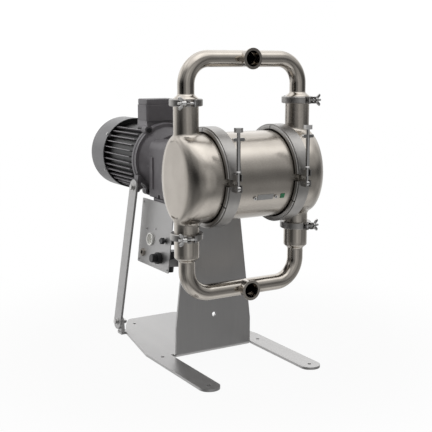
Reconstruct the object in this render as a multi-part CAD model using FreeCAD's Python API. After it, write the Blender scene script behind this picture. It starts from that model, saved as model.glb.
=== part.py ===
import FreeCAD, Part
import math
import os

# Electrically driven double diaphragm pump, all stainless wet end on a bent sheet stand.
# Millimetres, +Z up, X along the pump axis, -Y towards the two ports.
# The origin is the centre of the four main foot holes, on the underside of the base.

# Stand
plate_t = 8.0
bend_r = 6.0
hole_x = 187.0
hole_y = 151.0
hole_r = 6.0
leg_half = 34.0
rear_hole_x = 105.0
rear_hole_y = 537.0
base_back_y = 602.0
base_wide_y = 207.0
base_waist_x = 173.0
base_waist_y = 467.0
column_y = 135.0
column_half = 144.0
column_kink_z = 98.0
column_top_half = 100.0
relief = 9.0
sight_hole_r = 8.0
sight_hole_z = 130.0
shelf_z = 490.0
shelf_back_y = 385.0

# Pump head
axis_z = 621.0
pump_y = -43.0
drum_r = 134.0
drum_wall = 6.0
band_x = 122.0
flange_r = 145.5
flange_rim = 4.0
flange_slope = 4.5
cover_end_x = 242.0
cover_wall = 5.0
cover_round_y = 70.0
cover_round_z = 18.0
bulkhead_x = 62.0
bulkhead_t = 12.0
stroke_half = 12.0

# Riser, valve and manifold tubes
riser_x = 201.0
riser_r = 38.1
riser_wall = 2.0
pipe_r = 25.4
pipe_wall = 1.65
elbow_r = 76.0
upper_joint_z = 847.0
lower_joint_z = 448.0
top_pipe_z = 974.0
bottom_pipe_z = 264.0
cone_h = 16.0
cup_h = 62.0
short_cup_h = 8.0
ferrule_r = 45.5
ferrule_rim = 3.0
ferrule_slope = 3.0
port_r = 25.2
port_ferrule_r = 32.0
port_reach = 52.0
joint_gap = 3.0
stop_t = 1.5
ball_r = 23.0
seat_bore_r = 17.0
seat_t = 10.0
seat_cone_w = 4.0
seat_cone_h = 6.0
seat_drop = 44.0

# Pipe clamps
clamp_r = 50.0
clamp_h = 21.0
clamp_split_deg = 12.0
clamp_bolt_r = 4.0
clamp_ear = 11.0

# V-band clamps
strap_r = 153.0
strap_t = 4.0
strap_w = 40.0
band_gap = 20.0
lug_h = 20.0
lug_w = 20.0
rod_r = 5.0
rod_offset = 12.0
rod_length = 165.0
sleeve_r = 7.5
sleeve_top = 138.0

# Gearbox and motor, all on one axis above the shelf
gear_half = 95.0
gear_front_y = 107.0
gear_back_y = 403.0
gear_top_z = 700.0
gear_wall = 9.0
gear_corner = 34.0
foot_t = 10.0
bell_back_y = 470.0
shield_y = 493.0
shield_t = 20.0
motor_flange_r = 130.0
frame_r = 112.0
fin_r = 127.0
fin_count = 36
fin_t = 3.2
frame_back_y = 745.0
cowl_front_y = 726.0
cowl_back_y = 846.0
cowl_r = 133.5
cowl_t = 2.5
tbox_half = 60.0
tbox_y0 = 500.0
tbox_y1 = 580.0
tbox_top_z = 806.0
lid_t = 20.0
module = 2.0
teeth_motor = 16
teeth_wheel = 46
teeth_pinion = 18
teeth_output = 44
backlash = 0.20
shaft_r = 19.0
crank_r = 18.0

# Struts and side panel
strut_w = 54.0
strut_t = 8.0
strut_low = (191.0, 492.0, 42.0)
strut_high = (136.0, 457.0, 531.0)
panel_low = 130.0
panel_high = 105.0
panel_z0 = 268.0
panel_z1 = 493.0
panel_y0 = 217.0
panel_y1 = 449.0
panel_t = 3.0

running = 0.05
loose = 0.4

V = FreeCAD.Vector
X = V(1, 0, 0)
Y = V(0, 1, 0)
Z = V(0, 0, 1)
centre = V(0, pump_y, axis_z)

os.makedirs("parts", exist_ok=True)


def save(name, *shapes):
    """Writes one node, a single solid or a group of separate ones."""
    solids = []
    for shape in shapes:
        solids.extend(shape.Solids)
    body = solids[0] if len(solids) == 1 else Part.makeCompound(solids)
    body.exportStep("parts/" + name + ".step")
    print(name, len(solids), "solids", round(body.Volume / 1000.0, 1), "cm3", body.isValid())


def box(x0, x1, y0, y1, z0, z1):
    return Part.makeBox(x1 - x0, y1 - y0, z1 - z0, V(x0, y0, z0))


def rod(start, axis, length, radius):
    return Part.makeCylinder(radius, length, start, axis)


def ring(start, axis, length, outer, inner):
    hole = Part.makeCylinder(inner, length + 2, start - axis * 1.0, axis)
    return Part.makeCylinder(outer, length, start, axis).cut(hole)


def cone(start, axis, length, r0, r1):
    return Part.makeCone(r0, r1, length, start, axis)


def fuse(first, *others):
    return first.fuse(list(others)).removeSplitter()


def mirror_x(shape):
    return shape.mirror(V(0, 0, 0), X)


def turned(shape, point, axis, degrees):
    copy = shape.copy()
    copy.rotate(point, axis, degrees)
    return copy


def moved(shape, x, y, z):
    copy = shape.copy()
    copy.translate(V(x, y, z))
    return copy


def rounded(points):
    """Closed flat outline through (point, radius) corners."""
    edges = []
    last = None
    first = None
    count = len(points)
    for i in range(count):
        p, r = points[i]
        before = points[i - 1][0]
        after = points[(i + 1) % count][0]
        a = (before - p).normalize()
        b = (after - p).normalize()
        half = a.getAngle(b) / 2.0
        if r > 0:
            reach = r / math.tan(half)
            start = p + a * reach
            end = p + b * reach
            inner = p + (a + b).normalize() * (r / math.sin(half))
            middle = inner + (p - inner).normalize() * r
        else:
            start = p
            end = p
        if last is not None and last.distanceToPoint(start) > 1e-6:
            edges.append(Part.LineSegment(last, start).toShape())
        if r > 0:
            edges.append(Part.Arc(start, middle, end).toShape())
        if first is None:
            first = start
        last = end
    if last.distanceToPoint(first) > 1e-6:
        edges.append(Part.LineSegment(last, first).toShape())
    return Part.Wire(edges)


def prism(points, direction):
    return Part.Face(rounded(points)).extrude(direction)


def flat(points, z0, height):
    return prism([(V(x, y, z0), r) for x, y, r in points], Z * height)


def spun(points, origin, axis, radial):
    """Solid of revolution of (distance along the axis, radius) corners."""
    corners = [origin + axis * a + radial * r for a, r in points]
    corners.append(corners[0])
    return Part.Face(Part.makePolygon(corners)).revolve(origin, axis, 360)


def gear(teeth, width, start, bore, tooth_at_top):
    """Involute spur gear along +Y whose tooth or gap points straight up."""
    pitch = module * teeth / 2.0
    base = pitch * math.cos(math.radians(20.0))
    tip = pitch + module
    root = pitch - 1.25 * module
    inv20 = math.tan(math.radians(20.0)) - math.radians(20.0)
    half = (math.pi * module / 2.0 - backlash) / (2.0 * pitch) + inv20
    flank = []
    for i in range(5):
        r = max(base, root) + (tip - max(base, root)) * i / 4.0
        a = math.acos(min(1.0, base / r))
        flank.append((r, half - (math.tan(a) - a)))
    if root < base:
        flank.insert(0, (root, flank[0][1]))
    step = 2.0 * math.pi / teeth
    turn = 0.0 if tooth_at_top else step / 2.0
    points = []
    for k in range(teeth):
        mid = math.pi / 2.0 + k * step + turn
        for r, a in flank:
            points.append((r, mid - a))
        for r, a in reversed(flank):
            points.append((r, mid + a))
    corners = []
    for r, a in points:
        corners.append(start + V(r * math.cos(a), 0, r * math.sin(a)))
    corners.append(corners[0])
    body = Part.Face(Part.makePolygon(corners)).extrude(Y * width)
    if bore > 0:
        body = body.cut(rod(start - Y, Y, width + 2, bore))
    return body


# Stand: one bent sheet, base with two forward legs, column and shelf
def make_stand():
    inner = hole_x - leg_half
    outer = hole_x + leg_half
    tip_y = -hole_y - leg_half
    foot_y = column_y + plate_t + bend_r
    half = [
        (column_half, foot_y, 0),
        (column_half, foot_y + relief, 3),
        (inner, foot_y + relief, 3),
        (inner, tip_y, leg_half * 0.999),
        (outer, tip_y, leg_half * 0.999),
        (outer, base_wide_y, 20),
        (base_waist_x, base_waist_y, 20),
        (base_waist_x - 33, base_waist_y + 70, 20),
        (base_waist_x - 73, base_back_y, 30),
    ]
    other = [(-x, y, r) for x, y, r in reversed(half)]
    base = flat(half + other, 0, plate_t)
    for x in (-hole_x, hole_x):
        for y in (-hole_y, hole_y):
            base = base.cut(rod(V(x, y, -1), Z, plate_t + 2, hole_r))
        rear = math.copysign(rear_hole_x, x)
        base = base.cut(rod(V(rear, rear_hole_y, -1), Z, plate_t + 2, hole_r))
    outer_r = bend_r + plate_t
    w = column_half + 1
    strip = prism([
        (V(-w, foot_y, 0), 0),
        (V(-w, column_y, 0), outer_r),
        (V(-w, column_y, shelf_z), outer_r),
        (V(-w, shelf_back_y, shelf_z), 0),
        (V(-w, shelf_back_y, shelf_z - plate_t), 0),
        (V(-w, column_y + plate_t, shelf_z - plate_t), bend_r),
        (V(-w, column_y + plate_t, plate_t), bend_r),
        (V(-w, foot_y, plate_t), 0),
    ], X * 2 * w)
    y0 = column_y - 10
    front = prism([
        (V(-column_half, y0, -5), 0),
        (V(column_half, y0, -5), 0),
        (V(column_half, y0, column_kink_z), 0),
        (V(column_top_half, y0, shelf_z - outer_r), 0),
        (V(column_top_half, y0, shelf_z + 5), 0),
        (V(-column_top_half, y0, shelf_z + 5), 0),
        (V(-column_top_half, y0, shelf_z - outer_r), 0),
        (V(-column_half, y0, column_kink_z), 0),
    ], Y * (shelf_back_y - y0 + 5))
    column = strip.common(front)
    column = column.cut(rod(V(0, column_y - 5, sight_hole_z), Y, plate_t + 10, sight_hole_r))
    stand = fuse(base, column)
    for x in foot_bolt_x:
        for y in foot_bolt_y:
            stand = stand.cut(rod(V(x, y, shelf_z - plate_t - 1), Z, plate_t + 2, foot_bolt_r + 0.5))
    for side in (-1, 1):
        stand = fuse(stand, low_ear(side))
    return stand


foot_bolt_x = (-82.0, 82.0)
foot_bolt_y = (170.0, 345.0)
foot_bolt_r = 6.0


# Strut frame: the bar runs from the low bolt to the high bolt and leans inwards
def strut_axes(side):
    low = V(side * strut_low[0], strut_low[1], strut_low[2])
    high = V(side * strut_high[0], strut_high[1], strut_high[2])
    along = (high - low).normalize()
    bolt = V(along.z, 0, -along.x).normalize() * side
    wide = along.cross(bolt).normalize()
    return low, high, along, bolt, wide


ear_t = 14.0
strut_bolt_r = 6.0


def eye_plate(point, bolt, side, foot_a, foot_b, thickness, radius, bore):
    """Flat ear with a round eye, standing on the line from foot_a to foot_b."""
    eye = rod(point, bolt, thickness, radius)
    web = Part.Face(Part.makePolygon([
        point + side * radius, point - side * radius, foot_a, foot_b, point + side * radius,
    ])).extrude(bolt * thickness)
    return eye.fuse(web).cut(rod(point - bolt, bolt, thickness + 2, bore))


def low_ear(side):
    low, high, along, bolt, wide = strut_axes(side)
    face = low - bolt * (strut_t / 2.0 + ear_t)
    down = along * -(strut_low[2] - 2.0)
    if wide.y < 0:
        wide = wide * -1
    a = face + down - wide * 34
    b = face + down - wide * 2
    ear = eye_plate(face, bolt, wide, a, b, ear_t, 15, strut_bolt_r + running)
    under = box(-300, 300, 300, 700, -60, plate_t - 1.0)
    near = min(a.y, b.y)
    far = max(a.y, b.y)
    tab = box(base_waist_x - 40, side * face.x + ear_t + 6, near, far, 0, plate_t)
    if side < 0:
        tab = mirror_x(tab)
    return fuse(ear.cut(under), tab)


def high_ear(side):
    low, high, along, bolt, wide = strut_axes(side)
    face = high - bolt * (strut_t / 2.0 + ear_t)
    if wide.y < 0:
        wide = wide * -1
    eye = rod(face, bolt, ear_t, 17)
    arm = Part.Face(Part.makePolygon([
        face - wide * 15, face + wide * 15, face + wide * 15 + along * 44, face - wide * 15 + along * 44,
        face - wide * 15,
    ])).extrude(bolt * ear_t)
    block = Part.makeBox(46, 22, 20)
    block.translate(V(-23, -11, -10))
    block.rotate(V(0, 0, 0), Y, -35 * side)
    block.translate(high + along * 26 - bolt * 30 + Y * 8)
    ear = eye.fuse([arm, block])
    return ear.cut(rod(face - bolt, bolt, ear_t + 2, strut_bolt_r + running))


def make_strut(side):
    low, high, along, bolt, wide = strut_axes(side)
    start = bolt * (-strut_t / 2.0)
    r = strut_w / 2.0
    bar = Part.Face(Part.makePolygon([
        low + start + wide * r, low + start - wide * r,
        high + start - wide * r, high + start + wide * r, low + start + wide * r,
    ])).extrude(bolt * strut_t)
    bar = bar.fuse([rod(low + start, bolt, strut_t, r), rod(high + start, bolt, strut_t, r)])
    bar = bar.removeSplitter()
    for p in (low, high):
        bar = bar.cut(rod(p - bolt * strut_t, bolt, 2 * strut_t, strut_bolt_r + running))
    return bar


def make_strut_bolts(side):
    low, high, along, bolt, wide = strut_axes(side)
    pieces = []
    for p in (low, high):
        head = p + bolt * (strut_t / 2.0)
        tail = p - bolt * (strut_t / 2.0 + ear_t)
        length = strut_t + ear_t
        shank = rod(tail - bolt * 14, bolt, length + 14, strut_bolt_r)
        pieces.append(fuse(shank, rod(head, bolt, 2, 12), hexagon(head + bolt * 2, bolt, 8, 9.5)))
        pieces.append(hexagon(tail - bolt * 10, bolt, 10, 9.5).cut(
            rod(tail - bolt * 11, bolt, 12, strut_bolt_r + 0.02)))
    return pieces


def hexagon(start, axis, height, reach):
    other = X if abs(axis.x) < 0.8 else Y
    u = axis.cross(other).normalize()
    w = axis.cross(u).normalize()
    points = []
    for i in range(7):
        a = math.radians(60 * i)
        points.append(start + u * (reach * math.cos(a)) + w * (reach * math.sin(a)))
    return Part.Face(Part.makePolygon(points)).extrude(axis * height)


# Pump head: drum, two covers and what turns and slides inside them
def flange_profile(face, direction):
    """Rim and back slope of a V-band flange, from its face outwards."""
    end = face + direction * (flange_rim + flange_slope)
    return [
        (face, drum_r - drum_wall + 2), (face, flange_r), (face + direction * flange_rim, flange_r),
        (end, drum_r - 1.5), (end, drum_r - drum_wall + 2),
    ]


diaphragm_t = 4.0


def make_drum():
    face = band_x - diaphragm_t / 2.0
    shell = ring(V(-face, pump_y, axis_z), X, 2 * face, drum_r, drum_r - drum_wall)
    left = spun(flange_profile(-face, 1), centre, X, Z)
    right = spun(flange_profile(face, -1), centre, X, Z)
    walls = []
    for side in (-1, 1):
        start = side * bulkhead_x if side > 0 else -bulkhead_x - bulkhead_t
        disc = rod(V(start, pump_y, axis_z), X, bulkhead_t, drum_r - drum_wall + 1)
        hub = rod(V(start, pump_y, axis_z), X, bulkhead_t, 30)
        walls.append(fuse(disc, hub))
    boss = rod(V(0, pump_y + drum_r - 26, axis_z), Y, gear_front_y - pump_y - drum_r + 26, 62)
    plate = rod(V(0, gear_front_y - 10, axis_z), Y, 10, 82)
    drum = shell.fuse([left, right, walls[0], walls[1], boss, plate])
    drum = drum.cut(rod(V(-face, pump_y, axis_z), X, 2 * face, slide_r + running))
    inside = rod(V(-bulkhead_x, pump_y, axis_z), X, 2 * bulkhead_x, drum_r - drum_wall)
    drum = drum.cut(inside)
    drum = drum.cut(rod(V(0, pump_y + 60, axis_z), Y, 200, 42))
    for k in range(6):
        a = math.radians(60 * k + 30)
        p = V(72 * math.cos(a), gear_front_y - 11, axis_z + 72 * math.sin(a))
        drum = drum.cut(rod(p, Y, 12, 4.3))
    return drum.removeSplitter()


slide_r = 15.0


def cover_sections(grow):
    """Rows of (x, half width in Y, half height in Z) from the straight part to the end."""
    rows = []
    end = cover_end_x - grow
    ry = drum_r - grow
    rounding_y = cover_round_y - grow
    rounding_z = cover_round_z - grow
    for i in range(9):
        a = math.radians(90.0 * i / 8.0)
        x = end - rounding_y + rounding_y * math.sin(a)
        hy = ry - rounding_y + rounding_y * math.cos(a)
        depth = max(0.0, x - (end - rounding_z))
        hz = ry - rounding_z + math.sqrt(max(0.0, rounding_z ** 2 - depth ** 2))
        rows.append((x, hy, hz))
    return rows


def cover_body(grow, start):
    """Solid of the cover's outline, or of its hollow when grow is the wall."""
    rows = cover_sections(grow)
    wires = []
    for x, hy, hz in rows:
        c = V(x, pump_y, axis_z)
        tall = max(hz, hy + 0.001)
        wires.append(Part.Wire(Part.Ellipse(c + Z * tall, c + Y * hy, c).toShape()))
    cap = Part.makeLoft(wires, True, False)
    tube = Part.Face(wires[0]).extrude(X * (start - rows[0][0]))
    return tube.fuse(cap)


def make_cover():
    """Right hand cover: flange, flattened dome, upper and lower riser."""
    face = band_x + diaphragm_t / 2.0
    body = cover_body(0.0, face)
    body = body.fuse(spun(flange_profile(face, 1), centre, X, Z))
    up = rod(V(riser_x, pump_y, axis_z), Z, upper_joint_z - joint_gap / 2.0 - axis_z, riser_r)
    low_z = lower_joint_z + joint_gap / 2.0
    down = rod(V(riser_x, pump_y, low_z), Z, axis_z - low_z, riser_r)
    top = ferrule(V(riser_x, pump_y, upper_joint_z - joint_gap / 2.0), Z * -1, ferrule_r, riser_r)
    low = ferrule(V(riser_x, pump_y, low_z), Z, ferrule_r, riser_r)
    body = body.fuse([up, down, top, low])
    body = body.cut(cover_body(cover_wall, face - 1))
    bore = riser_r - riser_wall
    ledge = upper_joint_z - seat_drop - seat_t
    body = body.cut(rod(V(riser_x, pump_y, ledge), Z, 300, bore))
    body = body.cut(rod(V(riser_x, pump_y, axis_z), Z, 300, bore - 5))
    body = body.cut(rod(V(riser_x, pump_y, low_z - 5), Z, axis_z - low_z, bore))
    body = body.removeSplitter()
    return body


def ferrule(face, back, rim_r, tube_r):
    """Sanitary ferrule collar: flat rim with a sloping back."""
    side = X if abs(back.x) < 0.5 else Y
    profile = [
        (0, tube_r - 1.0), (0, rim_r), (ferrule_rim, rim_r),
        (ferrule_rim + ferrule_slope, tube_r), (ferrule_rim + ferrule_slope, tube_r - 1.0),
    ]
    return spun(profile, face, back, side)


def pipe_path(joint_z, pipe_z, straight_end):
    """Centre line of a U manifold: riser, elbow, run, elbow, riser."""
    up = 1 if pipe_z > joint_z else -1
    bend_z = pipe_z - up * elbow_r
    k = elbow_r * (1 - math.sqrt(0.5))
    edges = []
    y = pump_y
    left = V(-riser_x, y, straight_end)
    edges.append(Part.LineSegment(left, V(-riser_x, y, bend_z)).toShape())
    edges.append(Part.Arc(V(-riser_x, y, bend_z), V(-riser_x + k, y, pipe_z - up * k),
                          V(-riser_x + elbow_r, y, pipe_z)).toShape())
    edges.append(Part.LineSegment(V(-riser_x + elbow_r, y, pipe_z),
                                  V(riser_x - elbow_r, y, pipe_z)).toShape())
    edges.append(Part.Arc(V(riser_x - elbow_r, y, pipe_z), V(riser_x - k, y, pipe_z - up * k),
                          V(riser_x, y, bend_z)).toShape())
    edges.append(Part.LineSegment(V(riser_x, y, bend_z), V(riser_x, y, straight_end)).toShape())
    return Part.Wire(edges)


def swept(path, radius, start):
    circle = Part.Wire(Part.Circle(start, Z, radius).toShape())
    return path.makePipeShell([circle], True, False)


def make_manifold(joint_z, pipe_z, cup):
    """U manifold with a wide end at each clamp joint and one port towards -Y."""
    up = 1 if pipe_z > joint_z else -1
    face_z = joint_z + up * joint_gap / 2.0
    cone_z = face_z + up * cup
    tube_z = cone_z + up * cone_h
    path = pipe_path(joint_z, pipe_z, tube_z)
    start = V(-riser_x, pump_y, tube_z)
    outside = [swept(path, pipe_r, start)]
    inside = [swept(path, pipe_r - pipe_wall, start)]
    wide = riser_r - riser_wall
    for x in (-riser_x, riser_x):
        p = V(x, pump_y, face_z)
        outside.append(rod(p, Z * up, cup + 0.01, riser_r))
        outside.append(cone(V(x, pump_y, cone_z), Z * up, cone_h, riser_r, pipe_r))
        outside.append(ferrule(p, Z * up, ferrule_r, riser_r))
        inside.append(rod(p - Z * up, Z * up, cup + 1, wide))
        inside.append(cone(V(x, pump_y, cone_z), Z * up, cone_h, wide, pipe_r - pipe_wall))
        if cup > seat_drop:
            ledge = ring(V(x, pump_y, joint_z - seat_drop - seat_t - 3.0), Z, 3.0, riser_r - 0.5, 30)
            outside.append(ledge)
    port = V(0, pump_y, pipe_z)
    outside.append(rod(port, Y * -1, port_reach, port_r))
    outside.append(ferrule(port - Y * port_reach, Y, port_ferrule_r, port_r))
    inside.append(rod(port, Y * -1, port_reach + 1, port_r - pipe_wall))
    body = outside[0].fuse(outside[1:])
    hollow = inside[0].fuse(inside[1:])
    body = body.cut(hollow)
    if cup > seat_drop:
        for x in (-riser_x, riser_x):
            z = joint_z - seat_drop - seat_t - 3.0
            body = body.fuse(ring(V(x, pump_y, z), Z, 3.0, wide + 0.5, 30))
    return body.removeSplitter()


joints = [(-riser_x, upper_joint_z), (riser_x, upper_joint_z),
          (-riser_x, lower_joint_z), (riser_x, lower_joint_z)]
corner_names = ["upper_left", "upper_right", "lower_left", "lower_right"]


def make_seat(x, joint_z):
    z = joint_z - seat_drop - seat_t
    outer = riser_r - riser_wall - running
    profile = [(0, seat_bore_r), (0, outer), (seat_t, outer), (seat_t, seat_bore_r + seat_cone_w),
               (seat_t - seat_cone_h, seat_bore_r)]
    return spun(profile, V(x, pump_y, z), Z, X)


def ball_rest_z(joint_z):
    """Height of the ball's centre when it rests on the cone of its seat."""
    slope = math.atan2(seat_cone_h, seat_cone_w)
    r = ball_r + 0.02
    wall_z = joint_z - seat_drop - seat_cone_h
    wall_z += (r * math.sin(slope) - seat_bore_r) * seat_cone_h / seat_cone_w
    return wall_z + r * math.cos(slope)


def make_stop(x, joint_z):
    z = joint_z - joint_gap / 2.0
    plate = rod(V(x, pump_y, z), Z, stop_t, ferrule_r - 1.5)
    bore = riser_r - riser_wall
    hole = rod(V(x, pump_y, z - 1), Z, stop_t + 2, bore)
    cross = box(x - bore, x + bore, pump_y - 5, pump_y + 5, z - 1, z + stop_t + 1)
    other = box(x - 5, x + 5, pump_y - bore, pump_y + bore, z - 1, z + stop_t + 1)
    return plate.cut(hole.cut(cross.fuse(other))).removeSplitter()


def make_gasket(x, joint_z):
    z = joint_z - joint_gap / 2.0 + stop_t
    return ring(V(x, pump_y, z), Z, joint_gap - stop_t, ferrule_r - 0.5, riser_r - riser_wall)


# Pipe clamp, built about the origin with its opening towards +X and its bolt along +Y
def clamp_profile(x, joint_z):
    half = joint_gap / 2.0
    play = 0.25
    h = clamp_h / 2.0
    rim = ferrule_rim + half + play
    back = rim + ferrule_slope
    profile = [
        (-h, riser_r + play), (-h, clamp_r - 2), (-h + 2, clamp_r), (h - 2, clamp_r), (h, clamp_r - 2),
        (h, riser_r + play), (back, riser_r + play), (rim, ferrule_r + play),
        (-rim, ferrule_r + play), (-back, riser_r + play),
    ]
    return spun(profile, V(x, 0, joint_z), Z, X)


ear_out = clamp_r + 9.0
ear_gap = 4.0


def clamp_halves():
    body = clamp_profile(0, 0)
    slit = box(0, 80, -ear_gap, ear_gap, -30, 30)
    back_slit = box(-80, 0, -0.6, 0.6, -30, 30)
    body = body.cut(slit.fuse(back_slit))
    hinge_r = 6.0
    hinge_p = V(-clamp_r - 3, 0, -clamp_h / 2.0)
    body = body.cut(rod(hinge_p, Z, clamp_h, hinge_r + 0.4))
    solids = sorted(body.Solids, key=lambda s: s.CenterOfMass.y)
    near, far = solids[0], solids[-1]
    h = clamp_h / 2.0
    eye_y = -ear_gap - clamp_ear / 2.0
    near_ear = box(clamp_r - 7, ear_out, -ear_gap - clamp_ear, -ear_gap, -h, h)
    near_ear = near_ear.fuse(rod(V(ear_out, eye_y, -h), Z, clamp_h, clamp_ear / 2.0))
    pocket = clamp_bolt_r + 1.6
    near_ear = near_ear.cut(box(clamp_r + 0.5, ear_out + 20, -40, 5, -pocket, pocket))
    near_ear = near_ear.cut(rod(V(ear_out, eye_y, -h - 1), Z, clamp_h + 2, 2.5 + running))
    far_ear = box(clamp_r - 7, ear_out + 7, ear_gap, ear_gap + clamp_ear, -h, h)
    far_ear = far_ear.cut(box(clamp_r + 2.5, ear_out + 20, ear_gap - 1, ear_gap + clamp_ear + 1,
                              -pocket, pocket))
    cutter = clamp_profile(0, 0)
    keep = rod(V(0, 0, -h - 1), Z, clamp_h + 2, clamp_r - 3)
    near = near.fuse(near_ear.cut(keep)).removeSplitter()
    far = far.fuse(far_ear.cut(keep)).removeSplitter()
    knuckle = ring(V(-clamp_r - 3, 0, -h / 2.0), Z, h, hinge_r, 2.55)
    tongue = box(-clamp_r - 1, -clamp_r + 3, 1.0, 9, -h / 2.0, h / 2.0)
    far = far.fuse(fuse(knuckle, tongue.cut(rod(V(-clamp_r - 3, 0, -h), Z, clamp_h, hinge_r)))
                   ).removeSplitter()
    for z in (-h, h / 2.0 + 0.3):
        side = ring(V(-clamp_r - 3, 0, z), Z, h / 2.0 - 0.3, hinge_r, 2.55)
        tongue = box(-clamp_r - 1, -clamp_r + 3, -9, -1.0, z, z + h / 2.0 - 0.3)
        tongue = tongue.cut(rod(V(-clamp_r - 3, 0, -h), Z, clamp_h, hinge_r - 0.5))
        near = near.fuse(fuse(side, tongue)).removeSplitter()
    pin = rod(V(-clamp_r - 3, 0, -h - 1), Z, clamp_h + 2, 2.5)
    return [near, far, pin]


eye_point = V(ear_out, -ear_gap - clamp_ear / 2.0, 0)
nut_face = ear_gap + clamp_ear + 2.5


def clamp_bolt():
    """Swing bolt with its cross pin, pivoting in the near ear."""
    pin = rod(V(eye_point.x, eye_point.y, -clamp_h / 2.0 - 0.6), Z, clamp_h + 1.2, 2.5)
    eye = rod(V(eye_point.x, eye_point.y, -clamp_bolt_r), Z, 2 * clamp_bolt_r, 5.0)
    shank = rod(eye_point, Y, nut_face - eye_point.y + 24, clamp_bolt_r)
    return fuse(eye, pin, shank)


def clamp_nut():
    """Wing nut on the swing bolt, with a rounded bearing face."""
    p = V(ear_out, nut_face, 0)
    hub = spun([(0, 0), (0, 5.5), (2, 8), (11, 7), (15, 6), (15, 0)], p, Y, Z)
    wing = prism([
        (V(ear_out - 1.75, nut_face + 4, 5), 1), (V(ear_out - 1.75, nut_face + 15, 4), 1),
        (V(ear_out - 1.75, nut_face + 29, 13), 4), (V(ear_out - 1.75, nut_face + 22, 21), 4),
    ], X * 3.5)
    other = wing.mirror(V(0, 0, 0), Z)
    nut = hub.fuse([wing, other])
    return nut.cut(rod(p - Y, Y, 60, clamp_bolt_r + running)).removeSplitter()


def place_clamp(shape, x, joint_z):
    """Opening turned to the front and slightly outwards, bolt pointing away from the pump."""
    out = shape.copy()
    side = 1 if x > 0 else -1
    if side > 0:
        out.rotate(V(0, 0, 0), Z, -90 + clamp_split_deg)
    else:
        out = out.mirror(V(0, 0, 0), Y)
        out.rotate(V(0, 0, 0), Z, -90 - clamp_split_deg)
    out.translate(V(x, pump_y, joint_z))
    return out


# V-band clamp, built for the right side
def make_band():
    inner = strap_r - strap_t
    strap = ring(V(band_x - strap_w / 2.0, pump_y, axis_z), X, strap_w, strap_r, inner)
    play = 0.3
    rim = diaphragm_t / 2.0 + flange_rim + play
    low = rim + flange_slope
    wall = [
        (-low - 5, inner + 1), (low + 5, inner + 1), (low + 5, drum_r + 4), (low + 1, drum_r + play + 1),
        (low, drum_r + play + 1), (rim, flange_r + play), (-rim, flange_r + play),
        (-low, drum_r + play + 1), (-low - 1, drum_r + play + 1), (-low - 5, drum_r + 4),
    ]
    vee = spun(wall, V(band_x, pump_y, axis_z), X, Z)
    for degrees in (0, 120, 240):
        slot = box(band_x - 40, band_x + 40, pump_y - 2, pump_y + 2, axis_z + drum_r - 10,
                   axis_z + inner - 0.01)
        vee = vee.cut(turned(slot, centre, X, degrees))
    body = strap.fuse(vee)
    gap = box(band_x - 40, band_x + 40, pump_y - 200, pump_y, axis_z - band_gap / 2.0,
              axis_z + band_gap / 2.0)
    body = body.cut(gap)
    front = pump_y - strap_r - rod_offset
    keep = rod(V(band_x - 60, pump_y, axis_z), X, 120, strap_r - 1.0)
    reach = front - lug_w / 2.0 + 2.0
    z0 = axis_z + band_gap / 2.0 - 4
    upper = box(band_x - lug_w / 2.0, band_x + lug_w / 2.0, reach, pump_y - 130, z0, z0 + lug_h)
    slot = rod_r + 1.2
    upper = upper.cut(box(band_x - slot, band_x + slot, reach - 1, front + slot, z0 - 1, z0 + lug_h + 1))
    lower = box(band_x - lug_w / 2.0, band_x + lug_w / 2.0, reach, pump_y - 130,
                axis_z - band_gap / 2.0 - lug_h + 4, axis_z - band_gap / 2.0 + 4)
    lower = lower.cut(box(band_x - slot, band_x + slot, reach - 1, front + 9.5, z0 - 60, z0 + 10))
    pivot = V(band_x - lug_w, front, pivot_z)
    lower = lower.cut(rod(pivot, X, 2 * lug_w, 3 + running))
    return body.fuse([upper.cut(keep), lower.cut(keep)]).removeSplitter()


pivot_z = axis_z - 16.0
nut_z = axis_z + band_gap / 2.0 - 4 + lug_h + 1.0


def make_band_rod():
    """Long T-bolt, hinged in the lower lug, with a fixed head at its top."""
    front = pump_y - strap_r - rod_offset
    p = V(band_x, front, pivot_z)
    eye = rod(V(band_x - rod_r, front, pivot_z), X, 2 * rod_r, 7.5)
    pin = rod(V(band_x - lug_w / 2.0 - 0.5, front, pivot_z), X, lug_w + 1, 3)
    shank = rod(p, Z, rod_length, rod_r)
    head = hexagon(V(band_x, front, pivot_z + rod_length - 3), Z, 13, 13)
    return fuse(eye, pin, shank, head)


def make_band_nut():
    """Sleeve nut with a cross wing, turning on the T-bolt."""
    front = pump_y - strap_r - rod_offset
    p = V(band_x, front, nut_z)
    top = pivot_z + sleeve_top
    profile = [(0, 0), (0, sleeve_r - 2), (1.5, sleeve_r - 0.3), (6, sleeve_r), (8, sleeve_r - 1.5),
               (top - nut_z, sleeve_r - 1.5), (top - nut_z, 0)]
    sleeve = spun(profile, p, Z, X)
    wing = box(band_x - 19, band_x + 19, front - 4, front + 4, top - 1, top + 8.5)
    wing = wing.makeFillet(3.5, [e for e in wing.Edges if abs(e.tangentAt(e.FirstParameter).y) > 0.9])
    nut = sleeve.fuse(wing)
    return nut.cut(rod(p - Z * 5, Z, rod_length, rod_r + running)).removeSplitter()


# Diaphragms and their shaft
plate_r = 72.0


def make_diaphragm():
    """Right hand diaphragm: clamped rim, one convolution and a flat middle."""
    t = diaphragm_t
    r1 = plate_r + 4
    r2 = drum_r - drum_wall - 6
    mid = (r1 + r2) / 2.0
    bulge = 10.0
    outer = [(-t / 2.0, slide_r - 4), (-t / 2.0, r1)]
    steps = 10
    for i in range(1, steps):
        r = r1 + (r2 - r1) * i / steps
        outer.append((-t / 2.0 + bulge * math.sin(math.pi * i / steps), r))
    outer.append((-t / 2.0, r2))
    outer.append((-t / 2.0, flange_r - 1))
    back = [(a + t, r) for a, r in reversed(outer)]
    return spun(outer + back, V(band_x, pump_y, axis_z), X, Z)


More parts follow.
